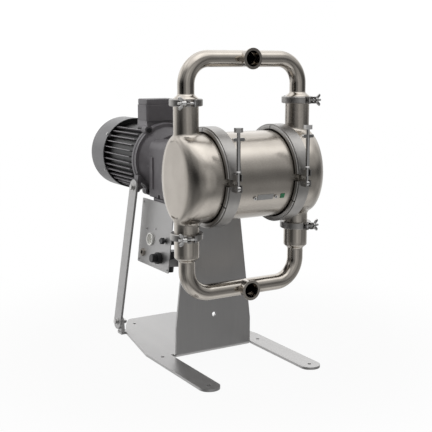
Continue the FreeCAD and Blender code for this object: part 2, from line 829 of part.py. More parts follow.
def make_inner_plate():
    x = band_x - diaphragm_t / 2.0
    return spun([(0, slide_r - 4), (0, plate_r), (-4, plate_r), (-8, plate_r - 14), (-8, slide_r - 4)],
                V(x, pump_y, axis_z), X, Z)


def make_outer_plate():
    x = band_x + diaphragm_t / 2.0
    return spun([(0, 0), (0, plate_r), (4, plate_r), (9, plate_r - 16), (12, 24), (16, 10), (16, 0)],
                V(x, pump_y, axis_z), X, Z)


window_x = crank_r + 2.0 * stroke_half + 1.0
window_z = crank_r + stroke_half + 1.0


def make_slide():
    """Shaft through both bulkheads with the yoke window around the crank."""
    end = band_x + diaphragm_t / 2.0
    step = band_x - diaphragm_t / 2.0 - 8
    shaft = rod(V(-step, pump_y, axis_z), X, 2 * step, slide_r)
    tip = rod(V(-end, pump_y, axis_z), X, 2 * end, slide_r - 4 - running)
    outer_x = window_x + 6
    outer_z = window_z + 12
    block = box(-outer_x, outer_x, pump_y - 14, pump_y + 14, axis_z - outer_z, axis_z + outer_z)
    hole = box(-window_x, window_x, pump_y - 30, pump_y + 30, axis_z - window_z, axis_z + window_z)
    corner = [e for e in hole.Edges if abs(e.tangentAt(e.FirstParameter).y) > 0.9]
    hole = hole.makeFillet(8, corner)
    body = shaft.fuse([tip, block])
    return body.cut(hole).removeSplitter()


# Drive: motor rotor, layshaft and output shaft with the crank
def centre_distance():
    return module * (teeth_motor + teeth_wheel) / 2.0


stage_one_y = gear_back_y - 62.0
stage_two_y = gear_front_y + 90.0
gear_width = 26.0


def make_crank():
    """Output gear, its shaft and the eccentric that works in the yoke."""
    y0 = pump_y - 16
    web_y = pump_y + 18
    shaft = rod(V(0, web_y, axis_z), Y, stage_two_y + gear_width + 24 - web_y, shaft_r)
    web = rod(V(0, web_y, axis_z), Y, 12, shaft_r + stroke_half)
    pin = rod(V(0, y0, axis_z + stroke_half), Y, web_y - y0 + 1, crank_r)
    wheel = gear(teeth_output, gear_width, V(0, stage_two_y, axis_z), 0, False)
    wheel = turned(wheel, V(0, 0, axis_z), Y, 180.0 if teeth_output % 2 == 0 else 0.0)
    return fuse(shaft, web, pin, wheel)


def make_layshaft():
    z = axis_z - centre_distance()
    shaft = rod(V(0, stage_two_y - 20, z), Y, stage_one_y + gear_width + 20 - stage_two_y + 20, 12)
    wheel = gear(teeth_wheel, gear_width, V(0, stage_one_y, z), 0, False)
    pinion = gear(teeth_pinion, gear_width + 4, V(0, stage_two_y - 2, z), 0, True)
    return fuse(shaft, wheel, pinion)


def make_rotor():
    start = stage_one_y - 4
    shaft = rod(V(0, start, axis_z), Y, cowl_back_y - 34 - start, 11)
    journal = rod(V(0, gear_back_y + 6, axis_z), Y, frame_back_y + 20 - gear_back_y - 6, shaft_r - 2)
    core = rod(V(0, shield_y + 42, axis_z), Y, frame_back_y - shield_y - 84, 62)
    pinion = gear(teeth_motor, gear_width + 6, V(0, stage_one_y - 3, axis_z), 0, True)
    if teeth_motor % 2 == 0:
        pinion = turned(pinion, V(0, 0, axis_z), Y, 180.0)
    return fuse(shaft, journal, core, pinion)


def make_fan():
    y0 = frame_back_y + 26
    hub = ring(V(0, y0, axis_z), Y, 26, 20, 11 + 0.02)
    disc = ring(V(0, y0, axis_z), Y, 4, cowl_r - 26, 18)
    fan = hub.fuse(disc)
    blade = box(-1.5, 1.5, y0 + 3, y0 + 28, axis_z + 19, axis_z + cowl_r - 28)
    blades = [turned(blade, V(0, 0, axis_z), Y, 360.0 * k / 9) for k in range(9)]
    return fan.fuse(blades).removeSplitter()


def make_stator():
    y0 = shield_y + 34
    return ring(V(0, y0, axis_z), Y, frame_back_y - 34 - y0, frame_r - 8.3, 62.6)


def bearing(y, z, inner, outer, width):
    return ring(V(0, y, z), Y, width, outer, inner + 0.03)


lay_z = axis_z - centre_distance()


def make_bearings():
    pieces = []
    pieces.append(bearing(gear_front_y + 1, axis_z, shaft_r, 36, 18))
    pieces.append(bearing(stage_two_y + gear_width + 6, axis_z, shaft_r, 36, 16))
    pieces.append(bearing(stage_two_y - 18, lay_z, 12, 26, 14))
    pieces.append(bearing(stage_one_y + gear_width + 4, lay_z, 12, 26, 14))
    pieces.append(bearing(gear_back_y + 14, axis_z, shaft_r - 2, 36, 18))
    pieces.append(bearing(frame_back_y - 20, axis_z, shaft_r - 2, 36, 18))
    return pieces


def gear_case_outline(y, grow):
    c = max(gear_corner - grow, 4.0)
    half = gear_half - grow
    low = shelf_z + foot_t + grow
    top = gear_top_z - grow
    return [(V(-half, y, low), 4), (V(half, y, low), 4), (V(half, y, top), c), (V(-half, y, top), c)]


def make_gear_case():
    """Cast case with a foot, a front wall and bearing walls; open at the back."""
    case = prism(gear_case_outline(gear_front_y, 0), Y * (gear_back_y - gear_front_y))
    hollow = prism(gear_case_outline(gear_front_y + gear_wall, gear_wall),
                   Y * (gear_back_y - gear_front_y))
    case = case.cut(hollow)
    foot = box(-gear_half - 5, gear_half + 5, gear_front_y + 38, gear_back_y - 20, shelf_z,
               shelf_z + foot_t + 1)
    corner = [e for e in foot.Edges if abs(e.tangentAt(e.FirstParameter).z) > 0.9]
    foot = foot.makeFillet(10, corner)
    wall_y = stage_two_y + gear_width + 5
    wall = prism(gear_case_outline(wall_y, gear_wall - 1), Y * 18)
    wall = wall.common(box(-200, 200, wall_y, wall_y + 18, axis_z - 46, axis_z + 60))
    wall_b = box(-gear_half + gear_wall - 1, gear_half - gear_wall + 1, stage_one_y + gear_width + 3,
                 stage_one_y + gear_width + 19, shelf_z + foot_t + gear_wall - 1, lay_z + 30)
    wall_c = box(-gear_half + gear_wall - 1, gear_half - gear_wall + 1, stage_two_y - 20, stage_two_y - 5,
                 shelf_z + foot_t + gear_wall - 1, lay_z + 30)
    rib = box(-gear_half - 4, gear_half + 4, gear_back_y - 18, gear_back_y, shelf_z + foot_t + 30,
              gear_top_z - 60)
    case = case.fuse([foot, wall, wall_b, wall_c, rib.cut(hollow)])
    front = rod(V(0, gear_front_y - 1, axis_z), Y, 24, 46)
    front = front.cut(rod(V(0, gear_front_y - 2, axis_z), Y, 30, 36 + 0.03))
    case = case.fuse(front.common(box(-99, 99, gear_front_y, gear_front_y + 30, 0, 999)))
    case = case.cut(rod(V(0, gear_front_y - 1, axis_z), Y, 20, 36.03))
    case = case.cut(rod(V(0, stage_two_y + gear_width + 4, axis_z), Y, 22, 36.03))
    case = case.cut(rod(V(0, stage_two_y - 21, lay_z), Y, 20, 26.03))
    case = case.cut(rod(V(0, stage_one_y + gear_width + 2, lay_z), Y, 20, 26.03))
    for x in foot_bolt_x:
        for y in foot_bolt_y:
            case = case.cut(rod(V(x, y, shelf_z - 1), Z, foot_t + 2, foot_bolt_r + 0.5))
            case = case.cut(rod(V(x, y, shelf_z + foot_t), Z, 14, 14))
    for k in range(6):
        a = math.radians(60 * k + 30)
        p = V(72 * math.cos(a), gear_front_y - 1, axis_z + 72 * math.sin(a))
        if p.z > shelf_z + foot_t:
            case = case.cut(rod(p, Y, gear_wall + 2, 4.3))
    return case.removeSplitter()


def make_bell():
    """Bell between the case and the motor, with the two strut ears."""
    y0 = gear_back_y
    length = bell_back_y - y0
    rim = motor_flange_r - 2
    outer = spun([(0, 0), (0, 92), (14, 96), (length - lug_t - 8, 114), (length - lug_t, 117),
                  (length - lug_t, rim), (length, rim), (length, 0)], V(0, y0, axis_z), Y, Z)
    square = prism(gear_case_outline(y0, 0), Y * 14)
    inner = spun([(-1, 0), (-1, 74), (14, 84), (length - 12, 106), (length + 1, 106), (length + 1, 0)],
                 V(0, y0, axis_z), Y, Z)
    bell = square.fuse(outer).cut(inner)
    wall = rod(V(0, y0 + 12, axis_z), Y, 22, 88).cut(rod(V(0, y0, axis_z), Y, 60, 36.03))
    bell = bell.fuse(wall)
    lug = rod(V(0, bell_back_y - lug_t, axis_z + lug_circle), Y, lug_t, 15)
    lugs = [turned(lug, V(0, 0, axis_z), Y, a) for a in lug_angles]
    bell = bell.fuse(lugs)
    for side in (-1, 1):
        ear = high_ear(side)
        keep = rod(V(0, y0 - 80, axis_z), Y, length + 160, 110)
        behind = box(-400, 400, bell_back_y, 900, 0, 900)
        low, high, along, bolt, wide = strut_axes(side)
        bell = bell.fuse(ear.cut(keep).cut(behind))
        bell = bell.cut(rod(high - bolt * (strut_t / 2.0 + ear_t + 16), bolt, 16, 11.5))
    bell = bell.cut(rod(V(0, y0 - 1, axis_z), Y, 40, 36.03))
    for a in lug_angles:
        p = lug_point(a, bell_back_y - 20)
        bell = bell.cut(rod(p, Y, 40, flange_bolt_r + 0.3))
    return bell.removeSplitter()


flange_bolt_r = 5.0
lug_t = 14.0
shield_lug_t = 16.0
lug_circle = 131.0
lug_angles = (35.0, 145.0, 215.0, 325.0)


def lug_point(degrees, y):
    a = math.radians(degrees)
    return V(lug_circle * math.sin(a), y, axis_z + lug_circle * math.cos(a))


def make_shield():
    """Front end shield of the motor, with lugs that match the bell."""
    y0 = bell_back_y
    length = shield_y + shield_t - y0
    shield = spun([(0, 0), (0, motor_flange_r - 3), (3, motor_flange_r), (shield_lug_t, motor_flange_r),
                   (shield_lug_t, frame_r + 8), (length - 6, frame_r + 6), (length, frame_r + 2),
                   (length, 0)], V(0, y0, axis_z), Y, Z)
    hollow = spun([(8, 0), (8, frame_r - 26), (length + 1, frame_r - 10), (length + 1, 0)],
                  V(0, y0, axis_z), Y, Z)
    shield = shield.cut(hollow).cut(rod(V(0, y0 - 1, axis_z), Y, 20, shaft_r + 1))
    lug = rod(V(0, y0, axis_z + lug_circle), Y, shield_lug_t, 15)
    lugs = [turned(lug, V(0, 0, axis_z), Y, a) for a in lug_angles]
    shield = shield.fuse(lugs)
    for a in lug_angles:
        shield = shield.cut(rod(lug_point(a, y0 - 1), Y, 40, flange_bolt_r + 0.3))
    return shield.removeSplitter()


def make_frame():
    """Finned motor housing with a flat pad for the terminal box."""
    y0 = shield_y + shield_t
    length = frame_back_y - y0
    tube = ring(V(0, y0, axis_z), Y, length, frame_r, frame_r - 8)
    fin = box(-fin_t / 2.0, fin_t / 2.0, y0 + 3, frame_back_y - 4, axis_z + frame_r - 2, axis_z + fin_r)
    step = 360.0 / fin_count
    fins = []
    for k in range(fin_count):
        angle = (k + 0.5) * step
        away = min(angle, 360.0 - angle)
        if away > 27:
            fins.append(turned(fin, V(0, 0, axis_z), Y, angle))
    pad = box(-tbox_half + 6, tbox_half - 6, y0, tbox_y1 + 10, axis_z + frame_r - 22, pad_z)
    pad = pad.cut(rod(V(0, y0 - 1, axis_z), Y, length + 2, frame_r - 4))
    rear = ring(V(0, frame_back_y - 24, axis_z), Y, 22, frame_r - 6, 36.03)
    feet = []
    for a in cowl_screw_deg:
        block = box(-8, 8, frame_back_y - 14, frame_back_y, axis_z + frame_r - 4, axis_z + cowl_r - cowl_t)
        feet.append(turned(block, V(0, 0, axis_z), Y, a))
    frame = tube.fuse(fins + [pad, rear] + feet)
    wire_hole = rod(V(0, (tbox_y0 + tbox_y1) / 2.0 + 10, axis_z + 60), Z, 100, 12)
    frame = frame.cut(wire_hole)
    cut_rod = rod(V(0, y0 - 20, axis_z), Y, length + 60, cowl_r - cowl_t - 0.2)
    return frame.common(cut_rod.fuse(box(-99, 99, 0, 999, axis_z, 999))).removeSplitter()


pad_z = 757.0


def make_terminal_box():
    inner = 5.0
    body = box(-tbox_half, tbox_half, tbox_y0, tbox_y1, pad_z, tbox_top_z)
    corner = [e for e in body.Edges if abs(e.tangentAt(e.FirstParameter).z) > 0.9]
    body = body.makeFillet(8, corner)
    hollow = box(-tbox_half + inner, tbox_half - inner, tbox_y0 + inner, tbox_y1 - inner, pad_z + 6,
                 tbox_top_z + 1)
    body = body.cut(hollow)
    body = body.cut(rod(V(0, (tbox_y0 + tbox_y1) / 2.0 + 10, pad_z - 1), Z, 10, 12))
    body = body.cut(rod(V(tbox_half - 8, gland_y, gland_z), X, 20, 10.1))
    return body.removeSplitter()


gland_y = (tbox_y0 + tbox_y1) / 2.0
gland_z = (pad_z + tbox_top_z) / 2.0


def make_terminal_lid():
    lid = box(-tbox_half - 3, tbox_half + 3, tbox_y0 - 3, tbox_y1 + 3, tbox_top_z, tbox_top_z + lid_t)
    corner = [e for e in lid.Edges if abs(e.tangentAt(e.FirstParameter).z) > 0.9]
    lid = lid.makeFillet(9, corner)
    top = [e for e in lid.Edges if e.CenterOfMass.z > tbox_top_z + lid_t - 0.01]
    lid = lid.makeFillet(4, top)
    return lid.cut(box(-tbox_half + 5, tbox_half - 5, tbox_y0 + 5, tbox_y1 - 5, tbox_top_z - 1,
                       tbox_top_z + lid_t - 5))


def make_gland():
    p = V(tbox_half + running, gland_y, gland_z)
    collar = hexagon(p, X, 9, 15)
    dome = cone(p + X * 9, X, 14, 13, 10)
    thread = rod(p - X * 8, X, 9, 10)
    return fuse(collar, dome, thread).cut(rod(p - X * 20, X, 60, 6))


def make_cowl():
    """Fan cowl: a deep sheet cup with a slotted grille at the back."""
    length = cowl_back_y - cowl_front_y
    outer = rod(V(0, cowl_front_y, axis_z), Y, length, cowl_r)
    rim = [e for e in outer.Edges if e.CenterOfMass.y > cowl_back_y - 0.01 and e.Closed]
    outer = outer.makeFillet(12, rim)
    inner = rod(V(0, cowl_front_y - 1, axis_z), Y, length - cowl_t + 1, cowl_r - cowl_t)
    rim = [e for e in inner.Edges if e.CenterOfMass.y > cowl_back_y - cowl_t - 0.01 and e.Closed]
    inner = inner.makeFillet(10, rim)
    cowl = outer.cut(inner)
    slots = []
    for r in (32, 48, 64, 80, 96):
        hoop = ring(V(0, cowl_back_y - 8, axis_z), Y, 16, r + 5, r - 3)
        slots.append(hoop)
    spokes = []
    for k in range(4):
        bar = box(-6, 6, cowl_back_y - 20, cowl_back_y + 20, axis_z, axis_z + 130)
        spokes.append(turned(bar, V(0, 0, axis_z), Y, 45 + 90 * k))
    grille = slots[0].fuse(slots[1:]).cut(spokes[0].fuse(spokes[1:]))
    cowl = cowl.cut(grille)
    for radial, p in cowl_screw_points():
        cowl = cowl.cut(rod(p - radial * 10, radial, 20, cowl_screw_r + running))
    return cowl.removeSplitter()


cowl_screw_r = 2.4
cowl_screw_deg = (65.0, 125.0, 245.0, 305.0)


def cowl_screw_points():
    places = []
    for a in cowl_screw_deg:
        radial = V(math.sin(math.radians(a)), 0, math.cos(math.radians(a)))
        places.append((radial, V(0, frame_back_y - 7, axis_z) + radial * cowl_r))
    return places


# Screws: a cap head on the surface and a short shank behind it
def screw(point, out, head_r, head_h, shank_r, shank):
    return fuse(rod(point, out, head_h, head_r), rod(point - out * shank, out, shank + 0.5, shank_r))


def make_flange_bolts():
    pieces = []
    for a in lug_angles:
        p = lug_point(a, bell_back_y - lug_t)
        shank = rod(p - Y * 1, Y, lug_t + shield_lug_t + 1, flange_bolt_r)
        head = hexagon(p - Y * 7, Y, 7, 9.2)
        nut = hexagon(p + Y * (lug_t + shield_lug_t), Y, 8, 9.2)
        pieces.append(fuse(head, shank, nut))
    for x in foot_bolt_x:
        for y in foot_bolt_y:
            p = V(x, y, shelf_z + foot_t)
            pieces.append(fuse(hexagon(p, Z, 8, 9.5), rod(p - Z * 28, Z, 29, foot_bolt_r),
                               hexagon(V(x, y, shelf_z - plate_t - 9), Z, 9, 9.5)))
    return pieces


# Side panel of the air supply, leaning inwards with the column's edge
def panel_frame():
    lean = math.atan2(panel_low - panel_high, panel_z1 - panel_z0)
    up = V(math.sin(lean), 0, math.cos(lean))
    out = V(-math.cos(lean), 0, math.sin(lean))
    return up, out


def on_panel(y, z):
    """Point on the outer face of the panel."""
    t = (z - panel_z0) / (panel_z1 - panel_z0)
    return V(-panel_low + (panel_low - panel_high) * t, y, z)


gauge_at = (362.0, 360.0)
inlet_at = (409.0, 306.0)
knob_at = (283.0, 308.0)
switch_at = (259.0, 371.0)
regulator_deep = 62.0


def make_panel():
    up, out = panel_frame()
    height = (panel_z1 - panel_z0) / up.z
    p = on_panel(panel_y0, panel_z0)
    width = panel_y1 - panel_y0
    corner = [(p, 4), (p + Y * width, 4), (p + Y * width + up * height, 4), (p + up * height, 4)]
    sheet = prism(corner, out * -panel_t)
    reach = column_y + plate_t
    for z in (panel_z0 + 22, panel_z1 - 45):
        q = on_panel(panel_y0 + 2, z)
        tab = Part.Face(Part.makePolygon([
            q - out * panel_t, q + up * 24 - out * panel_t, V(q.x + 40, q.y, z + 24), V(q.x + 40, q.y, z),
            q - out * panel_t,
        ])).extrude(Y * 3)
        sheet = sheet.fuse(tab)
        arm = box(q.x + 37, q.x + 40, reach, q.y + 3, z, z + 24)
        sheet = sheet.fuse(arm)
    for (y, z), r in ((gauge_at, 17.0), (inlet_at, 10.0), (knob_at, 10.0), (switch_at, 5.0)):
        sheet = sheet.cut(rod(on_panel(y, z) - out * 20, out, 40, r + 0.2))
    for y, z in panel_screw_points():
        sheet = sheet.cut(rod(on_panel(y, z) - out * 10, out, 12, 2.1))
    return sheet.removeSplitter()


def panel_screw_points():
    return [(panel_y0 + 10, panel_z0 + 10), (panel_y1 - 10, panel_z0 + 10),
            (panel_y0 + 10, panel_z1 - 12), (panel_y1 - 10, panel_z1 - 12),
            (gauge_at[0] + 34, gauge_at[1] + 32), (gauge_at[0] - 30, gauge_at[1] + 40)]


def make_gauge():
    """Pressure gauge: cup with a flat dial inside and a flanged bezel."""
    up, out = panel_frame()
    p = on_panel(*gauge_at)
    bezel = ring(p, out, 6, 22, 17.5)
    cup = ring(p - out * 24, out, 26, 17, 15)
    back = rod(p - out * 26, out, 4, 17)
    post = rod(p - out * 23, out, 21, 1.0)
    return fuse(bezel.fuse(ring(p, out, 1.5, 22, 15)), cup, back, post)


def make_pointer():
    up, out = panel_frame()
    p = on_panel(*gauge_at) - out * 4
    hub = ring(p, out, 1.5, 3, 1.0 + running)
    side = out.cross(up)
    tip = p + up * 12
    needle = Part.Face(Part.makePolygon([p + side * 1.6 + up * 1.5, tip, p - side * 1.6 + up * 1.5,
                                         p + side * 1.6 + up * 1.5])).extrude(out * 1.0)
    return fuse(hub, needle)


def make_inlet():
    """Threaded air inlet socket with a hexagon outside the panel."""
    up, out = panel_frame()
    p = on_panel(*inlet_at)
    hexa = hexagon(p, out, 7, 14)
    tail = rod(p - out * 30, out, 31, 10)
    return fuse(hexa, tail).cut(rod(p - out * 20, out, 40, 6.6))


def make_regulator():
    """Filter regulator behind the panel, its spindle passing through the panel."""
    up, out = panel_frame()
    p = on_panel(*knob_at)
    back = p - out * panel_t
    block = prism([
        (back - Y * 26 - up * 26, 5), (back + Y * 26 - up * 26, 5),
        (back + Y * 26 + up * 26, 5), (back - Y * 26 + up * 26, 5)], out * -regulator_deep)
    bowl = rod(back - out * (regulator_deep / 2.0) - up * 46, up, 21, 20)
    collar = ring(p - out * (panel_t + 1), out, panel_t + 3, 9.8, 6.0)
    spindle = rod(p - out * 6, out, 26, 4.0)
    neck = rod(back - out * 1, out, 3, 3.0)
    body = fuse(block, bowl, neck)
    rib = prism([
        (back + Y * 14 + up * 25, 0), (back + Y * 26 + up * 25, 0),
        (back + Y * 26 + up * 60, 3), (back + Y * 14 + up * 60, 3)], out * -regulator_deep * 0.7)
    return fuse(body, collar, spindle, rib)


def make_regulator_knob():
    up, out = panel_frame()
    p = on_panel(*knob_at) + out * 2.6
    profile = [(0, 0), (0, 19), (2, 20), (12, 20), (13, 19), (13, 15), (30, 14.5), (32, 13), (32, 0)]
    knob = spun(profile, p, out, up)
    for k in range(16):
        flute = rod(p + up * 21 - out, out, 15, 1.8)
        knob = knob.cut(turned(flute, p, out, 22.5 * k))
    for k in range(12):
        flute = rod(p + up * 15.6 + out * 13, out, 22, 1.8)
        knob = knob.cut(turned(flute, p, out, 30.0 * k))
    return knob.cut(rod(p - out, out, 19, 4.0 + running)).removeSplitter()


def make_switch():
    """Diamond shaped hand knob of the shut-off valve."""
    up, out = panel_frame()
    p = on_panel(*switch_at) + out * 4
    points = [(p + Y * 14, 3), (p + up * 12, 3), (p - Y * 14, 3), (p - up * 12, 3)]
    knob = prism(points, out * 12)
    return knob.cut(rod(p - out, out, 9, 4.0 + running))


def make_valve():
    up, out = panel_frame()
    p = on_panel(*switch_at)
    back = p - out * panel_t
    body = prism([(back - Y * 12 - up * 12, 3), (back + Y * 12 - up * 12, 3),
                  (back + Y * 12 + up * 12, 3), (back - Y * 12 + up * 12, 3)], out * -30)
    return fuse(body, rod(back - out, out, panel_t + 11, 4.0))


def make_small_screws():
    """Panel screws, cowl screws and terminal lid screws."""
    up, out = panel_frame()
    pieces = []
    for y, z in panel_screw_points():
        pieces.append(screw(on_panel(y, z), out, 3.6, 2.2, 2.0, panel_t + 3))
    for radial, p in cowl_screw_points():
        pieces.append(screw(p, radial, 5.0, 2.6, cowl_screw_r, cowl_t))
    return pieces


def make_nameplate():
    """Blank plate that follows the drum between its two screws."""
    r = drum_r
    sheet = ring(V(-28, pump_y, axis_z), X, 56, r + 1.2, r + 0.02)
    wedge = Part.Face(Part.makePolygon([
        centre - X * 40, centre - X * 40 + V(0, -200, -72), centre - X * 40 + V(0, -200, -104),
        centre - X * 40])).extrude(X * 80)
    return sheet.common(wedge)


def drum_point(x, degrees, r):
    a = math.radians(degrees)
    return V(x, pump_y - r * math.cos(a), axis_z - r * math.sin(a))


def make_drum_screws():
    pieces = []
    for x in (-37.0, 37.0):
        radial = (drum_point(x, 24, 1) - V(x, pump_y, axis_z)).normalize()
        pieces.append(rod(drum_point(x, 24, drum_r + 0.02), radial, 4, 5.5))
    return pieces


def make_tag():
    radial = (drum_point(62, 24, 1) - V(62, pump_y, axis_z)).normalize()
    sheet = ring(V(55, pump_y, axis_z), X, 14, drum_r + 1.6, drum_r + 0.02)
    wedge = Part.Face(Part.makePolygon([
        centre + X * 40, centre + X * 40 + V(0, -200, -76), centre + X * 40 + V(0, -200, -102),
        centre + X * 40])).extrude(X * 60)
    return sheet.common(wedge)


save("stand", make_stand())
save("motor_struts", make_strut(-1), make_strut(1))
save("strut_bolts", *(make_strut_bolts(-1) + make_strut_bolts(1)))
save("drum", make_drum())
cover = make_cover()
save("cover_right", cover)
save("cover_left", mirror_x(cover))
save("manifold_top", make_manifold(upper_joint_z, top_pipe_z, short_cup_h))
save("manifold_bottom", make_manifold(lower_joint_z, bottom_pipe_z, cup_h))
save("valve_seats", *[make_seat(x, z) for x, z in joints])
save("valve_stops", *[make_stop(x, z) for x, z in joints])
save("pipe_gaskets", *[make_gasket(x, z) for x, z in joints])
for name, (x, z) in zip(corner_names, joints):
    save("ball_" + name, Part.makeSphere(ball_r, V(x, pump_y, ball_rest_z(z))))
rings = []
for x, z in joints:
    rings.extend([place_clamp(part, x, z) for part in clamp_halves()])
save("pipe_clamps", *rings)
for name, (x, z) in zip(corner_names, joints):
    save("clamp_bolt_" + name, place_clamp(clamp_bolt(), x, z))
    save("clamp_nut_" + name, place_clamp(clamp_nut(), x, z))
band = make_band()
save("bands", band, mirror_x(band))
band_rod = make_band_rod()
save("band_rod_right", band_rod)
save("band_rod_left", mirror_x(band_rod))
band_nut = make_band_nut()
save("band_nut_right", band_nut)
save("band_nut_left", mirror_x(band_nut))
diaphragm = make_diaphragm()
save("diaphragm_right", diaphragm)
save("diaphragm_left", mirror_x(diaphragm))
plate = make_inner_plate()
save("inner_plates", plate, mirror_x(plate))
plate = make_outer_plate()
save("outer_plates", plate, mirror_x(plate))
save("slide_shaft", make_slide())
save("crank_shaft", make_crank())
save("layshaft", make_layshaft())
save("rotor", make_rotor())
save("fan", make_fan())
save("stator", make_stator())
save("bearings", *make_bearings())
save("gear_case", make_gear_case())
save("bell_housing", make_bell())
save("end_shield", make_shield())
save("motor_frame", make_frame())
save("terminal_box", make_terminal_box())
save("terminal_lid", make_terminal_lid())
save("cable_gland", make_gland())
save("fan_cowl", make_cowl())
save("housing_bolts", *make_flange_bolts())
save("panel", make_panel())
save("small_screws", *(make_small_screws() + make_drum_screws()))
save("gauge", make_gauge())
save("gauge_pointer", make_pointer())
save("air_inlet", make_inlet())
save("regulator", make_regulator())
save("regulator_knob", make_regulator_knob())
save("air_valve", make_valve())
save("valve_knob", make_switch())
save("nameplate", make_nameplate())
save("status_tag", make_tag())
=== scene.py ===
import math
import bmesh
import bpy
import numpy as np
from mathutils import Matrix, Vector


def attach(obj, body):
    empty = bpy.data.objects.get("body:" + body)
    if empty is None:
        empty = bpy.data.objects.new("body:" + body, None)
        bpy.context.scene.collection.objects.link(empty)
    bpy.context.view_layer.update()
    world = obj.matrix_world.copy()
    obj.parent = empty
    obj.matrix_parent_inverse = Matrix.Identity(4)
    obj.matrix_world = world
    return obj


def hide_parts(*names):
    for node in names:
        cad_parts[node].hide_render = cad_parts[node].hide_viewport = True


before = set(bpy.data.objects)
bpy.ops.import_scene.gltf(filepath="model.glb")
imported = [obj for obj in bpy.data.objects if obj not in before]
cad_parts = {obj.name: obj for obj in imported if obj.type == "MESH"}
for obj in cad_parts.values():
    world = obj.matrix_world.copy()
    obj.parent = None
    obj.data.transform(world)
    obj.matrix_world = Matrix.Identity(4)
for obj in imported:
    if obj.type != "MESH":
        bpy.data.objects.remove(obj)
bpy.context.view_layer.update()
root = "pump_frame"

# pump axis and main sizes in metres, the same as the solids
axisY = -0.043
axisZ = 0.621
print("frame loaded")


# camera, floor and light
cameraLook = {"place": (-1.4492, -2.3107, 0.9621), "tilt": 80.07, "turn": -30.785, "lens": 73.02}
# the lamps light paint, floor and plastic; what metal reflects comes from the studio walls below
lampLook = {
    "overhead": {"place": (0.4, -0.5, 3.2), "aim": (0, 0.1, 0.5), "size": (3.2, 2.4), "power": 8},
    "left": {"place": (-3.2, 0.4, 1.7), "aim": (0, 0.2, 0.6), "size": (1.4, 2.2), "power": 22},
    "rear": {"place": (-1.6, 3.2, 1.6), "aim": (0, 0.2, 0.6), "size": (2.4, 1.6), "power": 34},
}
# brightness of the soft white panels on the studio walls, in rings by height in degrees; each ring starts at +X and
# goes round to +Y in even steps, and every panel fades out over "spread" degrees
studioLook = {"spread": 36.0, "rings": {
    5: (0.14, 0.45, 0.67, 0.58, 0.80, 0.09, 0.0, 0.0, 0.27, 0.42, 0.15, 0.0),
    35: (0.37, 0.62, 0.64, 0.46, 0.64, 0.22, 0.23, 0.30, 0.11, 0.45),
    64: (0.70, 0.58, 0.71, 0.66, 0.87, 1.22),
}}
worldLook = {"ambient": "FFFFFF", "strength": 0.5, "mirrored": 0.5, "horizon": -0.6}
# a sheet of paper as the floor, in metres; it looks "level" bright near the object and white from "far" on, and the
# foot holes of the base are dark spots in it, since the floor under the plate lies in shadow
floorLook = {"half": 9.0, "drop": 0.0006, "dark": "C2C2C1", "pale": "CCCCCB", "centre": 0.2, "near": 0.45, "far": 1.3,
             "level": 0.94, "holeR": 0.016}
footHoles = [(x, y) for x in (-0.187, 0.187) for y in (-0.151, 0.151)] + [(-0.105, 0.537), (0.105, 0.537)]


def linear(code):
    # an sRGB hex colour as the linear values that Blender works in
    parts = [int(code[i:i + 2], 16) / 255.0 for i in (0, 2, 4)]
    return tuple([c / 12.92 if c <= 0.04045 else ((c + 0.055) / 1.055) ** 2.4 for c in parts] + [1.0])


def addNode(tree, kind, settings=None, links=None):
    # one node with its settings, by socket or by property, and what feeds its sockets
    node = tree.nodes.new(kind)
    for key, value in (settings or {}).items():
        if isinstance(key, str) and hasattr(node, key) and key not in node.inputs:
            setattr(node, key, value)
        else:
            node.inputs[key].default_value = value
    for key, source in (links or {}).items():
        tree.links.new(source, node.inputs[key])
    return node


def placed(name, data):
    # a new object in the scene
    thing = bpy.data.objects.new(name, data)
    bpy.context.scene.collection.objects.link(thing)
    return thing


def addCamera():
    data = bpy.data.cameras.new("photoCamera")
    data.sensor_width = 36.0
    data.lens = cameraLook["lens"]
    data.clip_end = 60.0
    camera = placed("photoCamera", data)
    camera.location = cameraLook["place"]
    camera.rotation_euler = (math.radians(cameraLook["tilt"]), 0.0, math.radians(cameraLook["turn"]))
    bpy.context.scene.camera = camera


def addLamps():
    for name, look in lampLook.items():
        data = bpy.data.lights.new(name, "AREA")
        data.shape = "RECTANGLE"
        data.size, data.size_y = look["size"]
        data.energy = look["power"]
        lamp = placed(name, data)
        lamp.location = look["place"]
        aim = Vector(look["aim"]) - Vector(look["place"])
        lamp.rotation_euler = aim.to_track_quat("-Z", "Y").to_euler()
        lamp.visible_camera = False
        lamp.visible_glossy = False


def showsBackdrop(tree):
    # 1 for what the camera, a reflection or a clear surface sees
    path = addNode(tree, "ShaderNodeLightPath")
    glossy = addNode(tree, "ShaderNodeMath", {"operation": "MAXIMUM"},
                     {0: path.outputs["Is Camera Ray"], 1: path.outputs["Is Glossy Ray"]})
    seen = addNode(tree, "ShaderNodeMath", {"operation": "MAXIMUM"},
                   {0: glossy.outputs[0], 1: path.outputs["Is Transmission Ray"]})
    return seen.outputs[0]


def studioLevel(tree, towards):
    # what a reflection meets in a direction: the sum of the panels near it
    total = None
    near = math.cos(math.radians(studioLook["spread"]))
    for height, levels in studioLook["rings"].items():
        up = math.radians(height)
        for k, level in enumerate(levels):
            if level == 0:
                continue
            turn = 2 * math.pi * k / len(levels)
            aim = (math.cos(turn) * math.cos(up), math.sin(turn) * math.cos(up), math.sin(up))
            close = addNode(tree, "ShaderNodeVectorMath", {"operation": "DOT_PRODUCT", 1: aim}, {0: towards})
            part = addNode(tree, "ShaderNodeMapRange",
                           {"interpolation_type": "SMOOTHERSTEP", "From Min": near, "From Max": 1.0,
                            "To Min": 0.0, "To Max": level}, {"Value": close.outputs["Value"]})
            if total is None:
                total = part.outputs[0]
            else:
                total = addNode(tree, "ShaderNodeMath", {"operation": "ADD"},
                                {0: total, 1: part.outputs[0]}).outputs[0]
    return total


